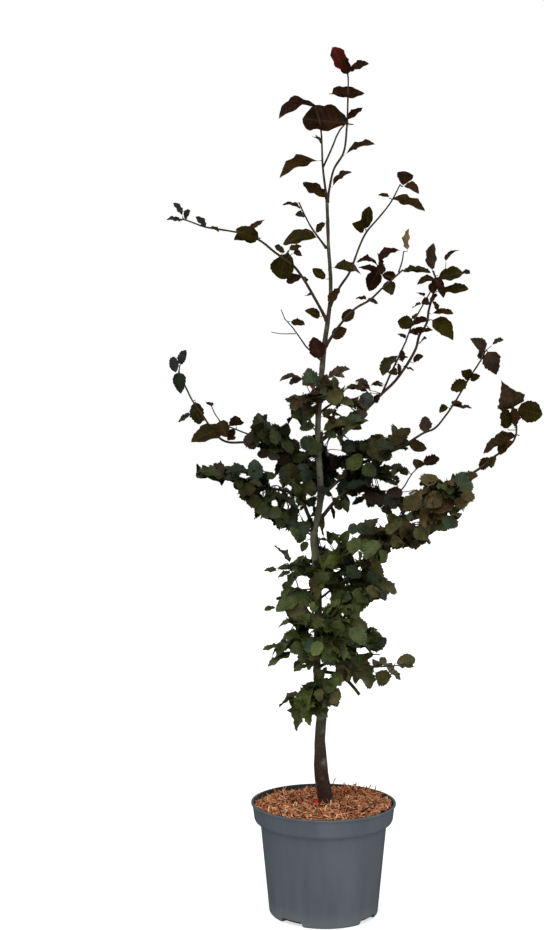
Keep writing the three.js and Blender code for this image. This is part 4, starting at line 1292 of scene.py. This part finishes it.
def fill_holes(crown, lines):
    """Small leaves on short stalks wherever the face of the dense crown is still bare."""
    covered = set().union(*(squares_before(leaf_spots(leaf)) for leaves in crown.values() for leaf in leaves))
    for line in lines.values():  # the wood is to be hidden as well, where leaves may hang before it
        covered -= squares_before(line)
    bearers = np.concatenate([*lines.values(), *(line for line, *_ in twigs)])
    seen = on_sheet(bearers)
    bare = squares_to_cover()
    chance.shuffle(bare)
    for square in bare:
        if square in covered:
            continue
        right, height = (np.array(square) + 0.5) * SQUARE
        away = np.hypot(seen[:, 0] - right, seen[:, 1] - height)
        nearest = np.argmin(away + FRONT_CHOICE * bearers[:, 1])
        if away[nearest] > LONGEST_REACH:
            continue
        home = min(FOLIAGE, key=lambda name: np.hypot(*(on_sheet(MIDDLES[name][None])[0] - (right, height))))
        for attempt in range(TRIES):
            length = chance.uniform(*SMALL_LEAF) * (1 - 0.5 * attempt / TRIES)
            aim = math.atan2(height - seen[nearest][1], right - seen[nearest][0]) + chance.gauss(0, 0.9)
            reach, rise = length * math.cos(aim), length * math.sin(aim) * 0.9
            share = chance.uniform(0.35, 0.65)
            tint = dealt(TINT_SHARES[FOLIAGE[home][1]])
            before = len(twigs)
            made = open_leaf(bearers[[nearest]], right - share * reach, height - share * rise, reach, rise,
                             length * chance.uniform(0.3, 0.62), tint, chance.uniform(-0.05, 0.2),
                             forward=chance.uniform(4, 14))
            if is_clear(made):
                crown[home].append(made)
                covered |= squares_before(leaf_spots(made))
                break
            del twigs[before:]


def make_foliage(lines):
    """All leaves, each in the piece of the mass that it belongs to."""
    crown = {name: [] for name in ALL_MASSES}

    def hang(made, in_the_open):
        # Leaves in full light take the darker copies of their tints: painted shade that offsets the light.
        if in_the_open or made.foot[2] > OPEN_ABOVE:
            made = made._replace(tint=made.tint + "_deep")
        crown[nearest_mass(made)].append(made)

    for limb, rows in OPEN_LEAVES.items():
        for row in rows:
            hang(open_leaf(lines[limb], *row), limb not in SHADED_LIMBS)
    for name, (crowding, palette) in FOLIAGE.items():
        crown[name] += fill_mass(name, crowding, TINT_SHARES[palette], lines)
    bearers = np.concatenate([*lines.values(), *(line for line, *_ in twigs)])
    others = np.concatenate([leaf_places(one) for leaves in crown.values() for one in leaves])
    for row in CROWN_LEAVES:
        hang(crown_leaf(bearers, others, *row), False)
    fill_holes(crown, lines)
    flat = LEAF_POINTS[:, :2] * [0.5, 1] + [0.5, 0]
    for name, leaves in crown.items():
        tints = [one.tint for one in leaves]
        # The leaves of the dark masses take the dimmed copies of their tints: painted shade.
        if FOLIAGE.get(name, (0, ""))[1] == "dark":
            tints = [tint + "_dim" if tint in LEAF_TINTS else tint for tint in tints]
        used = sorted(set(tints))
        places = [leaf_places(one) for one in leaves]
        mesh = joined_mesh("leaves_" + name, places, LEAF_FACES, [used.index(tint) for tint in tints], flat)
        skins = [LEAF_SKINS[tint] for tint in used]
        finish_piece("leaves_" + name, mesh, skins, [name])


# ---- Pot, root ball and mulch ---------------------------------------------------------------


def notches():
    """The space of the drainage notches: a flared wedge under the wall for each."""
    bm = bmesh.new()
    for middle in NOTCH_MIDDLES_DEG:
        rings = []
        for height, flare in ((-NOTCH_UNDERCUT, NOTCH_FLARE_DEG), (NOTCH_HEIGHT, 0)):
            half = NOTCH_ARC_DEG / 2 + flare
            arc = np.radians(np.linspace(-half, half, 9) + middle)
            outline = [(POT_RIM_RADIUS * math.cos(a), POT_RIM_RADIUS * math.sin(a), height) for a in arc]
            outline += [(NOTCH_INNER_RADIUS * math.cos(a), NOTCH_INNER_RADIUS * math.sin(a), height)
                        for a in arc[::-1]]
            verts = [bm.verts.new(point) for point in outline]
            rings.append([bm.edges.new((a, b)) for a, b in zip(verts, verts[1:] + verts[:1])])
            bmesh.ops.contextual_create(bm, geom=rings[-1])
        bmesh.ops.bridge_loops(bm, edges=rings[0] + rings[1])
    bmesh.ops.recalc_face_normals(bm, faces=bm.faces)
    return mesh_from("notches", bm)


def spun(profile, rounding):
    """A closed turned shape: the profile's corners are rounded, and it is spun once round."""
    bm = bmesh.new()
    verts = [bm.verts.new((radius, 0, height)) for radius, height in profile]
    for a, b in zip(verts, verts[1:]):
        bm.edges.new((a, b))
    bmesh.ops.bevel(bm, geom=verts[1:-1], affect="VERTICES", offset=rounding, segments=3, profile=0.5,
                    material=-1)
    bmesh.ops.spin(bm, geom=bm.verts[:] + bm.edges[:], cent=(0, 0, 0), axis=(0, 0, 1), angle=2 * math.pi,
                   steps=POT_SEGMENTS, use_merge=True)
    bmesh.ops.remove_doubles(bm, verts=bm.verts, dist=0.01)
    return bm


def make_pot():
    """The pot: a deep collar under a thin lip, a tapering wall, and four notches in its foot."""
    blank = add_object("pot_blank", mesh_of("pot", spun(POT_OUTSIDE + POT_INSIDE, POT_ROUNDING)))
    cutter = add_object("notches", notches())
    cut = blank.modifiers.new("notches", "BOOLEAN")
    cut.operation = "DIFFERENCE"
    cut.object = cutter
    whole = bpy.data.meshes.new_from_object(blank.evaluated_get(bpy.context.evaluated_depsgraph_get()))
    bpy.data.objects.remove(blank)
    bpy.data.objects.remove(cutter)
    crisp(whole)
    # The inside of the wall above the mulch takes a dark copy of the plastic, as painted shade.
    for face in whole.polygons:
        middle = face.center
        inwards = face.normal.xy.dot(middle.xy) < -0.5 * middle.xy.length
        if middle.z > SHADED_WALL and inwards:
            face.material_index = 1
    materials = [pot_plastic(), plain("painted_shade_pot_inner_wall", "#26292b", 0.6, 1, 0.2)]
    finish_piece("nursery_pot", whole, materials, ["pot"])


def bed_height(x, y):
    """The top of the mulch: it rises to the right and to the front, and it is heaped at the back right."""
    bumps = math.sin(x / 21 + 1) * math.cos(y / 17)
    heap = HEAP_HEIGHT * math.exp(-((x - HEAP_MIDDLE[0]) ** 2 + (y - HEAP_MIDDLE[1]) ** 2) / 1600) + 1.5
    return MULCH_TOP + MULCH_RELIEF * bumps + MULCH_TILT * (x - y) / (math.sqrt(2) * POT_RIM_RADIUS) + heap


def make_mulch_bed():
    """The dark bed of the shredded bark, uneven on top."""
    bm = bmesh.new()
    bmesh.ops.create_circle(bm, cap_ends=True, segments=96, radius=MULCH_RADIUS - 1.5)
    bmesh.ops.inset_individual(bm, faces=bm.faces[:], thickness=4)
    for _ in range(4):
        inner = max(bm.faces, key=lambda face: face.calc_area())
        bmesh.ops.inset_individual(bm, faces=[inner], thickness=24)
    for vert in bm.verts:
        vert.co.z = bed_height(vert.co.x, vert.co.y) - 2.5 + 1.2 * noise.noise(vert.co / 6)
    for part in bmesh.ops.extrude_face_region(bm, geom=bm.faces[:])["geom"]:
        if isinstance(part, bmesh.types.BMVert):
            part.co.z = MULCH_UNDERSIDE
            part.co.xy *= UNDERSIDE_SHARE
    bed = plain("mulch_bed", "#2c140c", 0.95, 4, 1.5)
    finish_piece("mulch_bed", mesh_of("mulch_bed", bm), [bed], ["mulch"])


def chip_pattern():
    """One splinter of bark: a bar that narrows and rises towards one end."""
    bm = bmesh.new()
    bmesh.ops.create_cube(bm, size=1)
    for vert in bm.verts:
        vert.co.y *= 0.55 if vert.co.x > 0 else 1
        vert.co.z += 0.25 * (vert.co.x > 0)
    return pattern_of(bm)


def make_mulch_chips():
    """Thousands of flat splinters strewn over the bed in several tones. More stand up where it is heaped."""
    pattern, faces = chip_pattern()
    chips = [plain(f"bark_chip_{i}", tone, 0.85, 1.5, 0.3) for i, tone in enumerate(CHIP_TONES)]
    shares = dict(enumerate(CHIP_TONES.values()))
    places = []
    kinds = []
    while len(places) < CHIP_COUNT:
        radius = (MULCH_RADIUS - 3) * math.sqrt(chance.random())
        angle = chance.uniform(0, 2 * math.pi)
        x, y = radius * math.cos(angle), radius * math.sin(angle)
        if math.hypot(x - STEM_FOOT_RIGHT, y) < STEM_FOOT_ROOM:
            continue
        length = chance.uniform(7, 18) * (1.4 if chance.random() < 0.12 else 1)
        size = np.array([length, chance.uniform(0.9, 2.7), chance.uniform(0.5, 1.1)])
        standing = STANDING_ON_HEAP if x > 30 and y > 50 else STANDING
        tilt = chance.gauss(0, 0.15) if chance.random() > standing else chance.uniform(0.5, 1.2)
        turn = Matrix.Rotation(chance.uniform(0, 2 * math.pi), 3, "Z") @ Matrix.Rotation(tilt, 3, "Y")
        turn = turn @ Matrix.Rotation(chance.gauss(0, 0.35), 3, "X")
        lift = abs(math.sin(tilt)) * length / 2
        middle = np.array([x, y, bed_height(x, y) - 1.6 + chance.uniform(0, 1.8) + lift])
        made = (pattern * size) @ np.array(turn).T + middle
        if np.hypot(made[:, 0], made[:, 1]).max() < MULCH_RADIUS - 0.3:
            places.append(made)
            kinds.append(dealt(shares))
    mesh = joined_mesh("mulch_chips", places, faces, kinds)
    mesh.shade_flat()
    finish_piece("mulch_chips", mesh, chips)


def make_root_ball():
    """Dark compost that fills the pot, seen only through the notches."""
    material = plain("compost", "#2a1d16", 0.95, 6, 2)
    finish_piece("compost", mesh_of("compost", spun(ROOT_BALL, 1.5)), [material], ["root_ball"])


def make_tag():
    """A scrap of red plastic tie, half under the mulch at the foot of the stem."""
    bm = bmesh.new()
    bmesh.ops.create_grid(bm, x_segments=6, y_segments=1, size=1)
    right, back, height = TIE_MIDDLE
    for vert in bm.verts:
        along, across = vert.co.x, vert.co.y
        curl = 1.2 * math.sin(2 * along)
        vert.co = Vector((right + 2.3 * across + curl, back + 1.5 * along, height + 5 * along))
    bmesh.ops.solidify(bm, geom=bm.faces[:], thickness=0.8)
    material = plain("red_polythene", "#c01c12", 0.4, 4, 0.2)
    finish_piece("red_tie", mesh_of("red_tie", bm), [material])


# ---- Studio ---------------------------------------------------------------------------------


def make_floor():
    """A wide white floor that glows a little."""
    bm = bmesh.new()
    bmesh.ops.create_grid(bm, x_segments=1, y_segments=1, size=20)
    mesh = mesh_from("floor", bm)
    made, tree = new_material("studio_floor_paint")
    shader = node(tree, "BsdfPrincipled", {
        "Base Color": linear("#b4b4b4"), "Roughness": 0.9, "Specular IOR Level": 0.0,
        "Emission Color": (1, 1, 1, 1), "Emission Strength": FLOOR_GLOW})
    node(tree, "OutputMaterial", {"Surface": shader})
    mesh.materials.append(made)
    floor = add_object("floor", mesh)
    floor.visible_glossy = False


def make_sky():
    """An even white sky that isn't mirrored, dimmer on the plant than it looks."""
    world = bpy.data.worlds.new("studio")
    bpy.context.scene.world = world
    world.use_nodes = True
    tree = world.node_tree
    tree.nodes.clear()
    seen = node(tree, "LightPath").outputs["Is Camera Ray"]
    strength = node(tree, "MapRange", {"Value": seen, "To Min": SKY_LIGHT, "To Max": 1.0})
    sky = node(tree, "Background", {"Color": (1, 1, 1, 1), "Strength": strength})
    node(tree, "OutputWorld", {"Surface": sky})
    world.cycles_visibility.glossy = False


def make_lamps():
    """The broad soft lamps round the plant."""
    for name, azimuth, elevation, power, spread in SUNS:
        azimuth, elevation = math.radians(azimuth), math.radians(elevation)
        light = bpy.data.lights.new(name, "SUN")
        light.energy = power
        light.angle = math.radians(spread)
        lamp = add_object(name, light)
        aim = Vector((-math.sin(azimuth) * math.cos(elevation), math.cos(azimuth) * math.cos(elevation),
                      -math.sin(elevation)))
        lamp.location = -3 * aim
        lamp.rotation_euler = aim.to_track_quat("-Z", "Y").to_euler()


def make_camera():
    """A level camera in front of the stem."""
    lens = bpy.data.cameras.new("camera")
    lens.lens = LENS_MM
    lens.sensor_width = SENSOR_MM
    camera = add_object("camera", lens)
    camera.location = Vector(EYE) * METRES
    camera.rotation_euler = (math.radians(90), 0, 0)
    bpy.context.scene.camera = camera
    bpy.context.scene.view_settings.view_transform = "Standard"


# ---- The whole tree -------------------------------------------------------------------------

make_floor()
make_sky()
make_lamps()
make_camera()
make_pot()
make_root_ball()
make_mulch_bed()
make_mulch_chips()
make_tag()
make_trunk()
make_foliage(make_limbs())
make_twigs()
make_buds()
